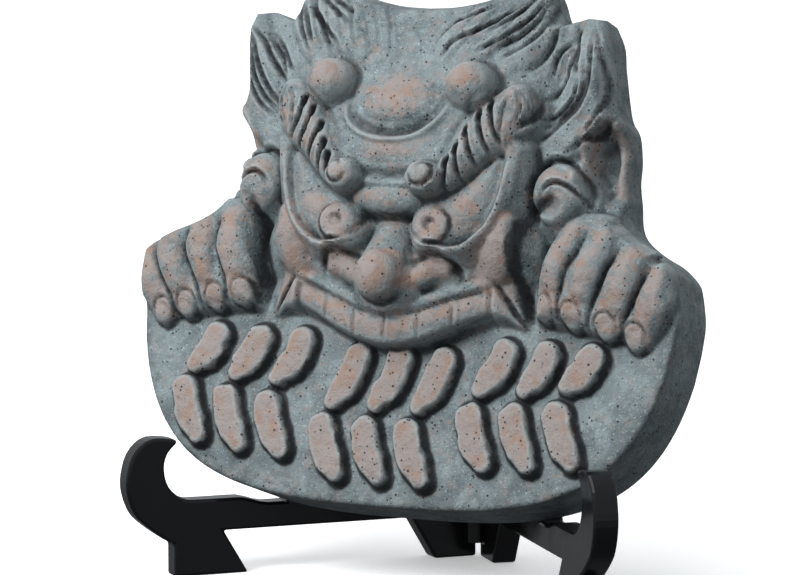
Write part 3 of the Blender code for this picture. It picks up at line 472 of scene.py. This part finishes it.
def brows(r):
    """Brows that fan out like a comb from a curl by the nose to a round end, and the folds between them."""
    shape = [(15.0, 98.6), (18.5, 99.3), (23.8, 102.1), (28.5, 106.6), (33.2, 111.1), (38.8, 114.9),
             (43.6, 119.9), (46.4, 126.3), (45.6, 133.2), (42.3, 137.0), (37.9, 136.7), (31.5, 131.0),
             (27.0, 126.5), (23.6, 121.1), (20.9, 114.5), (17.4, 109.2)]
    r.both(r.plate, shape, 28.0, 21.0, 6.0, 6.0, rust=0.4, fall=2.5)
    strands = [[(21.2, 111.3), (21.4, 106.1), (20.4, 100.6)], [(23.4, 115.8), (24.5, 108.9), (25.5, 103.8)],
               [(25.6, 121.7), (28.0, 114.2), (30.0, 108.9)], [(29.6, 127.1), (31.4, 119.2), (34.3, 113.0)],
               [(33.2, 130.5), (34.8, 122.3), (37.6, 116.2)]]
    for strand in strands:
        r.both(r.groove, strand, 0.62, 2.6, soot=1.2, lip=0.6, taper=0.25)
        # painted shade in a small hollow at each strand's root
        r.both(r.dome, (strand[0][0] + 0.3, strand[0][1] - 2.0), (1.1, 2.6), -2.0, turn=-12, soot=1.4)
    end_lines = [[(44.5, 136.1), (46.9, 132.4), (47.0, 127.8), (44.8, 124.1), (41.2, 120.7)],
                 [(43.4, 135.5), (46.2, 131.0), (45.8, 126.3), (43.1, 122.3)],
                 [(42.5, 134.0), (44.9, 130.4), (44.6, 125.8), (41.8, 122.0)],
                 [(41.5, 133.5), (43.0, 129.6), (42.4, 125.0), (40.4, 121.5)],
                 [(39.9, 132.3), (38.3, 129.4), (37.8, 125.7), (37.4, 121.1), (37.4, 117.4)]]
    for path in end_lines:
        r.both(r.groove, path, 0.55, 1.6, soot=0.6, lip=0.6)
    r.both(r.groove, [(17.5, 109.5), (20.0, 116.0), (23.0, 122.8), (27.0, 128.4), (32.5, 133.6)], 0.7, 1.2,
           soot=0.5)
    r.both(r.ball, (14.4, 103.4), (5.8, 5.4), 32.5, 5.5, rust=0.6, fall=6.0)
    curl = [(11.8, 102.6), (13.0, 100.6), (16.2, 100.4), (18.6, 103.2), (17.9, 106.6), (15.4, 107.6),
            (13.8, 106.2)]
    r.both(r.groove, curl, 0.55, 1.8, soot=1.3, taper=0.25)
    r.groove([(-8.5, 105.2), (0, 104.6), (8.5, 105.2)], 1.5, 2.6, taper=0.1, soot=0.45)
    r.rib([(-8.5, 101.9), (0, 101.2), (8.5, 101.9)], 1.0, 1.0, taper=0.1)
    r.sausage([(-8.8, 97.8), (0, 97.0), (8.8, 97.8)], [4.2, 4.8, 4.2], [23.5, 24.5, 23.5], 4.5, rust=0.35,
              fall=3.0)


def eyes(r):
    """Cheeks, and bulging eyes under the brows, each with its ringed iris and a thin lower lid."""
    # painted shade in the eye's inner corner
    r.both(r.dome, (8.6, 91.0), (4.5, 3.6), -1.5, soot=0.35)
    cheek = [(38.8, 93), (37.4, 86), (35.4, 79.5), (33.0, 74)]
    r.both(r.sausage, cheek, [3.8, 6.2, 6.8, 5.0], [16.5, 16.5, 14.0, 10], 5.0, rust=1.2, fall=1.3,
           blend=2.5)
    under_eye = [(7.5, 89.8), (10.0, 84.8), (14.0, 82.4), (19.5, 81.6), (25.5, 82.6), (30.6, 86.0),
                 (34.8, 91.6), (37.8, 98.4), (39.8, 106.5), (41.0, 116)]
    crest = [16.5, 18.0, 18.5, 18.5, 18.8, 19.5]
    r.both(r.sausage, under_eye, [1.7, 1.8, 2.0, 2.4, 2.8, 2.8], crest, 2.4, rust=0.35, fall=1.8, blend=1.0)
    ball = [(9.0, 92.0), (10.8, 87.4), (14.2, 84.8), (18.5, 83.7), (22.5, 84.0), (26.7, 85.8),
            (30.6, 89.1), (33.6, 93.5), (35.5, 98.5), (37.0, 106), (37.2, 113), (32.5, 110), (27.0, 104.0),
            (21.0, 99.6), (14.0, 97.0)]
    r.both(r.plate, ball, 22.6, 19.5, 7.5, 3.8, rust=0.35)
    r.both(r.dome, (27, 95.5), (6, 5), 0.5, turn=50, rust=0.7)
    r.both(r.ball, (17.0, 89.0), (6.2, 5.9), 23.5, 1.4, rust=1.0, fall=1.5)
    ring = [(17.0 + 6.4 * math.cos(a), 89.0 + 6.1 * math.sin(a)) for a in np.linspace(-1.9, 1.4, 9)]
    # painted shade in the ring round the iris and in its dimple; the dimple's middle is kept clear of it
    r.both(r.groove, ring, 0.55, 1.2, taper=0.3, soot=1.2)
    r.both(r.dome, (16.6, 89.2), (2.6, 2.4), -2.2, power=0.7, soot=0.9)
    r.both(r.dome, (17.2, 88.9), (1.3, 1.3), 1.0, soot=-1.1)
    lid = [(8.3, 91.5), (9.9, 86.8), (13.6, 84.0), (18.4, 82.9), (22.7, 83.2), (27.1, 85.0), (31.2, 88.4),
           (34.3, 92.9), (36.3, 97.9), (37.8, 105.4), (38.6, 112.8)]
    r.both(r.groove, lid, 0.6, 1.4, soot=0.7, taper=0.15)
    r.both(r.rib, [(a * 1.03 + 0.3, b - 1.4) for a, b in lid], 1.0, 1.0, taper=0.12)
    r.groove([(-8, 92.2), (0, 91.8), (8, 92.2)], 1.2, 1.8, taper=0.1, soot=0.7)


def nose_and_mouth(r):
    """A drop-shaped nose with flared wings over a thin lip, a grinning row of teeth and two tusks."""
    r.both(r.dome, (33.5, 80), (6.5, 10), 1.0, turn=10, power=0.8, rust=0.8)
    r.both(r.dome, (16.0, 77.5), (15.0, 7.5), 3.4, power=0.7, rust=0.5)
    r.sausage([(0, 92.5), (0, 86), (0, 79), (0, 72)], [6.6, 6.9, 7.4, 7.4], [15.5, 19.0, 23.5, 27.0], 6.0,
              rust=0.3, fall=1.5)
    wing = [(5, 69.8), (10.5, 72.6), (15.5, 75.8), (20.0, 76.6)]
    r.both(r.sausage, wing, [3.6, 3.8, 4.2, 4.0], [15, 17, 17.5, 15.5], 5.0, rust=1.0, fall=5.0)
    wing_fold = [(8.2, 76.8), (11.4, 79.0), (17.4, 80.2), (22.8, 78.6), (25.3, 74.8), (23.6, 71.2)]
    r.both(r.groove, wing_fold, 0.9, 1.8, soot=0.8, lip=0.5)
    r.both(r.dome, (23.2, 76.2), (2.2, 3.2), -1.0, soot=0.8)
    r.ball((0, 72.0), (7.6, 8.6), 28.6, 8.0, rust=1.5, fall=6.0, blend=1.2)
    r.groove([(-8.0, 68.0), (-5.5, 64.8), (0, 62.9), (5.5, 64.8), (8.0, 68.0)], 0.8, 1.6, soot=0.8)
    lip = [(-38, 74.5), (-31.0, 72.0), (-24.5, 69.6), (-17.0, 66.4), (-9.0, 63.4), (0, 61.9), (9.0, 63.4),
           (17.0, 66.4), (24.5, 69.6), (31.0, 72.0), (38, 74.5)]
    teeth = [(a * 0.99, b - 5.2) for a, b in lip]
    r.sausage(teeth, [3.6, 5.0, 5.2, 5.0, 3.6], [7, 11.8, 12.8, 11.8, 7], 2.6, rust=0.9, fall=7.0)
    r.sausage([(a, b + 1.0) for a, b in lip], [1.8, 2.4, 2.6, 2.4, 1.8], [8.5, 12.6, 14.0, 12.6, 8.5], 2.4,
              rust=0.1, fall=1.0)
    r.groove([(a, b - 1.5) for a, b in lip], 0.5, 1.2, soot=0.35, taper=0.12)
    for i in range(7):
        u = 11.4 * (i - 3)
        top = 60.8 + 11.0 * (u / 34.0) ** 2
        r.groove([(u, top), (u, top - 3.6), (u * 1.01, top - 8.0)], 0.6, 1.1, soot=0.3, taper=0.2, lip=0.4)
    tusk = [(35.0, 73.6), (41.0, 77.5), (43.5, 71.5), (46.0, 60.5), (40.5, 62.5), (35.5, 64.5)]
    r.both(r.plate, tusk, 10.0, 2.5, 2.2, 2.0, rust=0.5, fall=3.0)
    r.both(r.groove, [(36.0, 73.5), (39.4, 69.0), (42.6, 64.5), (45.4, 60.6)], 0.8, 2.6, soot=1.3)


def hands(r):
    """Each hand lays four fingers over the board's upper edge, nails down."""
    fingers = [[(61.6, 92), (59.4, 82.5), (56.9, 74), (54.8, 67.5)],
               [(72.8, 91), (70.4, 81), (67.6, 72.5), (64.9, 65.5)],
               [(83.8, 86), (81.6, 77), (78.9, 69.2), (76.3, 62.8)],
               [(92.6, 79.5), (91.0, 72), (88.7, 66), (85.9, 60.2)]]
    ridge = [13.0, 12.2, 11.0, 8.5]
    tips = [7.0, 6.2, 5.6, 4.2]
    fist = [(50.8, 63), (51.2, 76), (54.4, 90), (60.0, 97.5), (70, 98.5), (80, 93), (89, 86), (94, 78),
            (92.5, 68), (88, 58.5), (79, 58), (67, 60.5), (58, 62.0)]
    r.both(r.plate, fist, 11.0, 5.0, 6.5, 6.0, fall=3.0)
    for finger, high, tip in zip(fingers, ridge, tips):
        nu, nv = finger[-1]
        crest = [high - 3.0, high - 0.5, high, high - 1.5, tip + 0.5]
        r.both(r.sausage, finger, [5.0, 5.8, 5.8, 5.2], crest, 5.0, rust=0.8, fall=4.0)
        r.both(r.ball, (nu - 0.2, nv - 0.4), (4.5, 5.0), tip + 1.4, 3.6, rust=0.5, fall=6.0)
        nail = [(nu - 0.6 + 3.7 * math.cos(a), nv - 0.8 + 4.5 * math.sin(a))
                for a in np.linspace(-0.6, 4.0, 11)]
        r.both(r.groove, nail, 0.5, 1.0, soot=0.9, lip=0.3, taper=0.25)
        r.both(r.groove, [(nu - 4.8, nv - 3.2), (nu - 0.4, nv - 6.4), (nu + 4.4, nv - 3.2)], 0.7, 0.5,
               soot=0.9)
    between = [[(66.5, 92), (64.8, 84), (61.9, 76), (59.8, 68.5), (59.6, 62.5)],
               [(78.6, 88.6), (76.2, 80.0), (73.2, 72.4), (70.6, 65.5), (69.8, 60.2)],
               [(89.6, 81.5), (87.0, 74.6), (84.2, 68.2), (81.2, 62.2), (80.2, 57.6)]]
    for path in between:
        r.both(r.groove, path, 0.6, 2.0, soot=1.2, taper=0.3)


def stroke_rows(r):
    """Two rows of thick brush strokes in three groups, in the place of an inscription."""
    for middle, low in STROKE_GROUPS:
        for row in range(2):
            way = 1 if row else -1
            for i in range(STROKES_ABREAST):
                u = middle + STROKE_PITCH * (i - 0.5 * (STROKES_ABREAST - 1)) + 1.5 * way
                foot = low + foot_height(u) * 0.3 + row * (STROKE_LENGTH + STROKE_ROW_GAP)
                length = min(STROKE_LENGTH, STROKE_TOP - foot)
                r.pad([(u - 0.5 * STROKE_SLANT * way, foot), (u + STROKE_BEND * way, foot + 0.5 * length),
                       (u + 0.5 * STROKE_SLANT * way, foot + length)])


def carve():
    """The whole front as sheets of height, rust, soot with painted shade, and hollowness over a raster."""
    u, v = np.meshgrid(np.arange(*RASTER_U, RASTER), np.arange(*RASTER_V, RASTER))
    r = Carving(u, v)
    for form in (head_ground, hair, ears_and_arms, forehead, eyes, brows, nose_and_mouth, hands,
                 stroke_rows):
        form(r)
    height = blur(r.w, 0.28)
    height += 0.16 * unevenness(u, v, 9.0, 11) + 0.09 * unevenness(u, v, 2.4, 12)
    # painted shade: the board darkens towards its lower edge
    r.soot += 0.34 * smoothstep((20.0 - v + foot_height(u)) / 20.0)
    # hollow: how far a place lies below its blurred surroundings; the clay darkens it as painted shade, and
    # where it is negative lightens it as a painted highlight
    return {"height": height,
            "rust": blur(np.clip(r.rust, 0, 1.6), 1.0),
            "soot": blur(np.clip(r.soot, 0, 1.4), 0.35),
            "hollow": blur(height, 1.1) - height}


def sample(sheet, u, v):
    """A sheet's value at each place."""
    a, b = (u - RASTER_U[0]) / RASTER, (v - RASTER_V[0]) / RASTER
    i = np.clip(a.astype(int), 0, sheet.shape[1] - 2)
    j = np.clip(b.astype(int), 0, sheet.shape[0] - 2)
    p, q = a - i, b - j
    low = sheet[j, i] * (1 - p) + sheet[j, i + 1] * p
    high = sheet[j + 1, i] * (1 - p) + sheet[j + 1, i + 1] * p
    return low * (1 - q) + high * q


def back_height(v):
    """The back is flat behind the board and slopes forward behind the head."""
    run = np.clip((v - BACK_SLOPE_START) / (BACK_SLOPE_END - BACK_SLOPE_START), 0.0, 1.2)
    return run * (BOARD_THICKNESS - TOP_THICKNESS)


def inset(loop, distance):
    """A copy of a closed loop moved inwards."""
    ahead = np.roll(loop, -2, axis=0) - np.roll(loop, 2, axis=0)
    normal = np.stack([-ahead[:, 1], ahead[:, 0]], 1)
    normal /= np.linalg.norm(normal, axis=1)[:, None]
    return loop + normal * distance


def grid_within(loop, margin, us, vs):
    """The points of a grid that lie inside a closed loop, at least a margin from it."""
    grid_u, grid_v = np.meshgrid(us, vs)
    points = np.stack([grid_u.ravel(), grid_v.ravel()], 1)
    return points[inside(points, inset(loop, margin))]


def triangulated(points, count, more_edges=()):
    """Triangles over points of which the first count are a closed rim that the triangles keep to."""
    edges = [(i, (i + 1) % count) for i in range(count)]
    return delaunay_2d_cdt([Vector(p) for p in points], edges + list(more_edges), [], 1, 1e-6)


def leaned(points):
    """Places on the tile turned into places in the room, in metres."""
    u, v, w = np.asarray(points, float).T
    c, s = math.cos(TILE_LEAN), math.sin(TILE_LEAN)
    x = TILE_ORIGIN[0] + u
    y = TILE_ORIGIN[1] + v * s - w * c
    z = TILE_ORIGIN[2] + v * c + w * s
    return np.stack([x, y, z], 1) * MM


def front_of(loop, carved):
    """The carved front: its places on the tile, their heights, its faces, and which places are the rim."""
    count = len(loop)
    depths = [share * EDGE_ROUND for share in RIM_RINGS]
    rings = [inset(loop, depth) for depth in depths[1:]]
    points = grid_within(loop, EDGE_ROUND + 0.5 * MESH_STEP, np.arange(-101.0, 101.0, MESH_STEP),
                         np.arange(-1.0, 178.0, MESH_STEP))
    made = triangulated(np.vstack([loop] + rings + [points]), count)
    verts = np.array([tuple(p) for p in made[0]])
    place = {old: new for new, sources in enumerate(made[3]) for old in sources}
    away = np.full(len(verts), FAR)
    for old in range(count * len(depths)):
        away[place[old]] = min(away[place[old]], depths[old // count])
    height = sample(carved, verts[:, 0], verts[:, 1])
    near = np.flatnonzero((height > BOARD_THICKNESS + 1.0) & (away == FAR))
    away[near] = distance_to_path(verts[near, 0], verts[near, 1], np.vstack([loop, loop[:1]]))[0]
    bend = 1.0 - np.clip(away / EDGE_ROUND, 0, 1)
    round_off = EDGE_ROUND * (1.0 - np.sqrt(np.clip(1.0 - bend ** 2, 0, 1)))
    height = np.minimum(height, BOARD_THICKNESS + 0.6 + 2.2 * away) - round_off
    height = np.maximum(height, back_height(verts[:, 1]) + 0.5 * TOP_THICKNESS)
    return verts, height, [list(face) for face in made[2]], np.array([place[i] for i in range(count)])


def back_of(loop, rim_heights, rim, first):
    """The back's faces and its inner places, numbered from first on; rim numbers those around it."""
    count = len(loop)
    sloped = [i for i in range(count) if rim_heights[i] >= BACK_SLOPE_START]
    points = grid_within(loop, BACK_MARGIN, np.arange(-100.0, 100.0, BACK_STEP),
                         np.arange(2.0, 176.0, BACK_STEP))
    made = triangulated(np.vstack([loop, points]), count, [(sloped[0], sloped[-1])])
    index, inner = [], []
    for (u, v), sources in zip(made[0], made[3]):
        on_rim = [s for s in sources if s < count]
        if on_rim:
            index.append(int(rim[on_rim[0]]))
        else:
            index.append(first + len(inner))
            inner.append((u, v, float(back_height(v))))
    return [[index[i] for i in face][::-1] for face in made[2]], inner


def tile_piece(surface):
    """The tile as one closed mesh: the carved front, the wall around it and the back."""
    sheets = carve()
    loop = outline(MESH_STEP)
    count = len(loop)
    verts, height, faces, rim = front_of(loop, sheets["height"])
    coordinates = [leaned(np.column_stack([verts, height]))]
    for k in range(1, WALL_ROWS + 1):
        share = k / WALL_ROWS
        w = height[rim] * (1 - share) + back_height(verts[rim, 1]) * share
        coordinates.append(leaned(np.column_stack([verts[rim], w])))
    rows = [rim] + [len(verts) + k * count + np.arange(count) for k in range(WALL_ROWS)]
    for upper, lower in zip(rows, rows[1:]):
        for i in range(count):
            j = (i + 1) % count
            faces.append([int(upper[j]), int(upper[i]), int(lower[i]), int(lower[j])])
    back_faces, inner = back_of(loop, verts[rim, 1], rows[-1], len(verts) + WALL_ROWS * count)
    coordinates = np.vstack(coordinates + [leaned(inner)])
    mesh = bpy.data.meshes.new("demon_tile_carved")
    mesh.from_pydata(coordinates.tolist(), [], faces + back_faces)
    mesh.validate()
    for name in ("rust", "soot", "hollow"):
        values = np.zeros(len(coordinates))
        values[:len(verts)] = sample(sheets[name], verts[:, 0], verts[:, 1])
        attribute = mesh.attributes.new(name, "FLOAT", "POINT")
        attribute.data.foreach_set("value", values.astype(np.float32))
    mesh.shade_smooth()
    mesh.set_sharp_from_angle(angle=math.radians(62))
    piece = bpy.data.objects.new("demon_tile_carved", mesh)
    bpy.context.collection.objects.link(piece)
    mesh.materials.append(surface)
    return piece


class Nodes:
    """Short calls for building a material's nodes; sizes and depths are in millimetres."""

    def __init__(self, name):
        self.material = bpy.data.materials.new(name)
        self.material.use_nodes = True
        self.tree = self.material.node_tree
        self.shader = self.tree.nodes["Principled BSDF"]
        self.place = self.tree.nodes.new("ShaderNodeTexCoord").outputs["Object"]

    def link(self, source, target):
        self.tree.links.new(source, target)

    def set(self, socket, value):
        """Links a socket, or sets its value."""
        if isinstance(value, bpy.types.NodeSocket):
            self.link(value, socket)
        else:
            socket.default_value = value

    def noise(self, size, detail=3.0, roughness=0.55):
        """Cloudy noise with patches of about the given size."""
        node = self.tree.nodes.new("ShaderNodeTexNoise")
        self.link(self.place, node.inputs["Vector"])
        node.inputs["Scale"].default_value = 1.0 / (size * MM)
        node.inputs["Detail"].default_value = detail
        node.inputs["Roughness"].default_value = roughness
        return node.outputs["Fac"]

    def cells(self, size):
        """Distance to scattered points about the given size apart."""
        node = self.tree.nodes.new("ShaderNodeTexVoronoi")
        self.link(self.place, node.inputs["Vector"])
        node.inputs["Scale"].default_value = 1.0 / (size * MM)
        return node.outputs["Distance"]

    def attribute(self, name):
        """One of the sheets that the carving leaves on the mesh."""
        node = self.tree.nodes.new("ShaderNodeAttribute")
        node.attribute_name = name
        return node.outputs["Fac"]

    def ranged(self, value, low, high, to_low=0.0, to_high=1.0):
        """A value between low and high turned softly into one between to_low and to_high."""
        node = self.tree.nodes.new("ShaderNodeMapRange")
        node.interpolation_type = "SMOOTHSTEP"
        self.set(node.inputs["Value"], value)
        for key, number in (("From Min", low), ("From Max", high), ("To Min", to_low), ("To Max", to_high)):
            node.inputs[key].default_value = number
        return node.outputs["Result"]

    def math(self, operation, a, b):
        node = self.tree.nodes.new("ShaderNodeMath")
        node.operation = operation
        self.set(node.inputs[0], a)
        self.set(node.inputs[1], b)
        return node.outputs["Value"]

    def mix(self, factor, a, b):
        """Colour a turned into colour b as the factor rises."""
        node = self.tree.nodes.new("ShaderNodeMix")
        node.data_type = "RGBA"
        self.set(node.inputs["Factor"], factor)
        for key, colour in (("A", a), ("B", b)):
            self.set(node.inputs[key], colour if isinstance(colour, bpy.types.NodeSocket) else (*colour,
                                                                                                1.0))
        return node.outputs["Result"]

    def bump(self, height, depth, strength, below=None):
        node = self.tree.nodes.new("ShaderNodeBump")
        node.inputs["Strength"].default_value = strength
        node.inputs["Distance"].default_value = depth * MM
        self.link(height, node.inputs["Height"])
        if below is not None:
            self.link(below, node.inputs["Normal"])
        return node.outputs["Normal"]


def clay_material():
    """Smoked fired clay: blue-grey with a dull sheen and painted glints, rusty where it stands proud, a
    painted highlight on raised places, and soot and painted shade in its hollows.
    """
    n = Nodes("fired clay, smoked grey")
    colour = n.mix(n.ranged(n.noise(20.0, 5.0), 0.36, 0.64), GREY_DARK, GREY_LIGHT)
    colour = n.mix(n.ranged(n.noise(5.0, 5.0, 0.7), 0.45, 0.68, 0.0, 0.7), colour, GREY_PATCH)
    # painted glints in small pale specks
    colour = n.mix(n.ranged(n.noise(0.8, 2.0, 0.7), 0.56, 0.72, 0.0, 0.55), colour, GREY_PAINTED_GLINT)
    rust_tone = n.mix(n.ranged(n.noise(6.0, 5.0), 0.36, 0.54), RUST_DEEP, RUST_PALE)
    rust_mask = n.math("ADD", n.attribute("rust"), n.ranged(n.noise(4.5, 6.0, 0.7), 0.3, 0.7, -0.55, 0.4))
    colour = n.mix(n.ranged(rust_mask, -0.1, 0.8), colour, rust_tone)
    # painted highlight: places that stand above their surroundings are lightened
    raised = n.math("MULTIPLY", n.attribute("hollow"), -1.0)
    colour = n.mix(n.ranged(raised, 0.12, 0.8, 0.0, 0.55), colour, GREY_PAINTED_HIGHLIGHT)
    # soot and painted shade: grooves, gaps and the feet of forms painted near-black
    soot_mask = n.math("ADD", n.attribute("soot"), n.ranged(n.noise(2.5, 4.0), 0.3, 0.7, -0.2, 0.2))
    colour = n.mix(n.ranged(soot_mask, 0.10, 0.90, 0.0, 0.93), colour, SOOT_AND_SHADE)
    # painted shade in hollows
    colour = n.mix(n.ranged(n.attribute("hollow"), 0.25, 1.2, 0.0, 0.6), colour, HOLLOW_SHADE)
    grain = n.noise(0.7, 3.0, 0.7)
    colour = n.mix(n.ranged(grain, 0.28, 0.42, 0.55, 0.0), colour, GRAIN)
    pit_size = n.ranged(n.noise(3.2, 2.0), 0.38, 0.66, 0.0, 0.24)
    pits = n.math("LESS_THAN", n.cells(1.8), pit_size)
    colour = n.mix(n.math("MULTIPLY", pits, 0.92), colour, PIT)
    n.set(n.shader.inputs["Base Color"], colour)
    n.set(n.shader.inputs["Roughness"], n.ranged(n.noise(1.6, 4.0), 0.3, 0.7, 0.48, 0.72))
    n.shader.inputs["Specular IOR Level"].default_value = 0.4
    body = n.bump(n.noise(3.0, 6.0, 0.65), 0.9, 0.9)
    fine = n.bump(grain, 0.35, 0.9, body)
    n.set(n.shader.inputs["Normal"], n.bump(n.math("MULTIPLY", pits, -1.0), 0.35, 0.9, fine))
    return n.material


def plastic_material():
    """Glossy black moulded plastic with faint flow marks."""
    n = Nodes("black gloss plastic, moulded")
    n.set(n.shader.inputs["Base Color"], n.mix(n.noise(30.0, 3.0), (0.003, 0.003, 0.004),
                                               (0.006, 0.006, 0.007)))
    n.set(n.shader.inputs["Roughness"], n.ranged(n.noise(9.0, 4.0), 0.3, 0.7, 0.12, 0.24))
    n.set(n.shader.inputs["Normal"], n.bump(n.noise(6.0, 3.0), 0.05, 0.5))
    n.shader.inputs["Specular IOR Level"].default_value = 0.35
    return n.material


def floor_material():
    """A matt, almost white floor that glows a little, so it fades into the background."""
    n = Nodes("pale floor")
    n.set(n.shader.inputs["Base Color"], n.mix(n.noise(400.0, 2.0), (0.96, 0.96, 0.96), (0.98, 0.98, 0.98)))
    n.shader.inputs["Emission Color"].default_value = (1.0, 1.0, 1.0, 1.0)
    n.shader.inputs["Emission Strength"].default_value = FLOOR_GLOW
    n.shader.inputs["Roughness"].default_value = 0.7
    n.shader.inputs["Specular IOR Level"].default_value = 0.2
    return n.material


def floor():
    """The floor, which throws no light back on the tile and doesn't show in the plastic."""
    mesh = bpy.data.meshes.new("floor")
    grid = bmesh.new()
    bmesh.ops.create_grid(grid, x_segments=8, y_segments=8, size=FLOOR_REACH)
    grid.to_mesh(mesh)
    grid.free()
    made = bpy.data.objects.new("floor", mesh)
    bpy.context.collection.objects.link(made)
    mesh.materials.append(floor_material())
    made.visible_diffuse = False
    made.visible_glossy = False


def camera():
    """The photograph's view: a long lens, 26 degrees to the right and 6 degrees above."""
    back = Vector((math.sin(VIEW_AZIMUTH) * math.cos(VIEW_ELEVATION),
                   -math.cos(VIEW_AZIMUTH) * math.cos(VIEW_ELEVATION), math.sin(VIEW_ELEVATION)))
    right = Vector((math.cos(VIEW_AZIMUTH), math.sin(VIEW_AZIMUTH), 0.0))
    up = back.cross(right)
    target = right * VIEW_SHIFT[0] + up * VIEW_SHIFT[1] + Vector(VIEW_PIVOT)
    data = bpy.data.cameras.new("camera")
    data.sensor_width = SENSOR_WIDTH
    data.lens = FOCAL_LENGTH / PHOTO_WIDTH * SENSOR_WIDTH
    data.clip_end = 50.0
    made = bpy.data.objects.new("camera", data)
    bpy.context.collection.objects.link(made)
    made.location = (target + back * VIEW_DISTANCE) * MM
    made.rotation_euler = back.to_track_quat("Z", "Y").to_euler()
    bpy.context.scene.camera = made


def sky():
    """A pale surround that is brighter above the horizon than below it."""
    world = bpy.data.worlds.new("studio")
    world.use_nodes = True
    nodes, links = world.node_tree.nodes, world.node_tree.links
    way = nodes.new("ShaderNodeTexCoord")
    parts = nodes.new("ShaderNodeSeparateXYZ")
    fade = nodes.new("ShaderNodeMapRange")
    for key, number in SKY_FADE:
        fade.inputs[key].default_value = number
    links.new(way.outputs["Generated"], parts.inputs["Vector"])
    links.new(parts.outputs["Z"], fade.inputs["Value"])
    nodes["Background"].inputs["Color"].default_value = SKY_COLOUR
    links.new(fade.outputs["Result"], nodes["Background"].inputs["Strength"])
    bpy.context.scene.world = world


def studio():
    """A pale floor and surround, a broad sun from above, and a near light in front, a little to the left."""
    floor()
    bpy.context.scene.view_settings.view_transform = "Standard"
    sky()
    sun = bpy.data.lights.new("overhead", "SUN")
    sun.energy = SUN_ENERGY
    sun.angle = SUN_ANGLE
    overhead = bpy.data.objects.new("overhead", sun)
    bpy.context.collection.objects.link(overhead)
    overhead.rotation_euler = Vector(SUN_SIDE).to_track_quat("Z", "Y").to_euler()
    lamp = bpy.data.lights.new("key", "AREA")
    lamp.shape = "RECTANGLE"
    lamp.size = lamp.size_y = KEY_SIZE
    lamp.energy = KEY_POWER
    key = bpy.data.objects.new("key", lamp)
    bpy.context.collection.objects.link(key)
    key.location = KEY_PLACE
    key.rotation_euler = (Vector(KEY_TARGET) - Vector(KEY_PLACE)).to_track_quat("-Z", "Y").to_euler()


clay = clay_material()
plastic = plastic_material()
camera()
studio()
tile = tile_piece(clay)
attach(tile, "root")
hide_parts("demon_tile")
for name in ("stand_side_left", "stand_side_right"):
    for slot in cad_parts[name].material_slots:
        slot.material = plastic
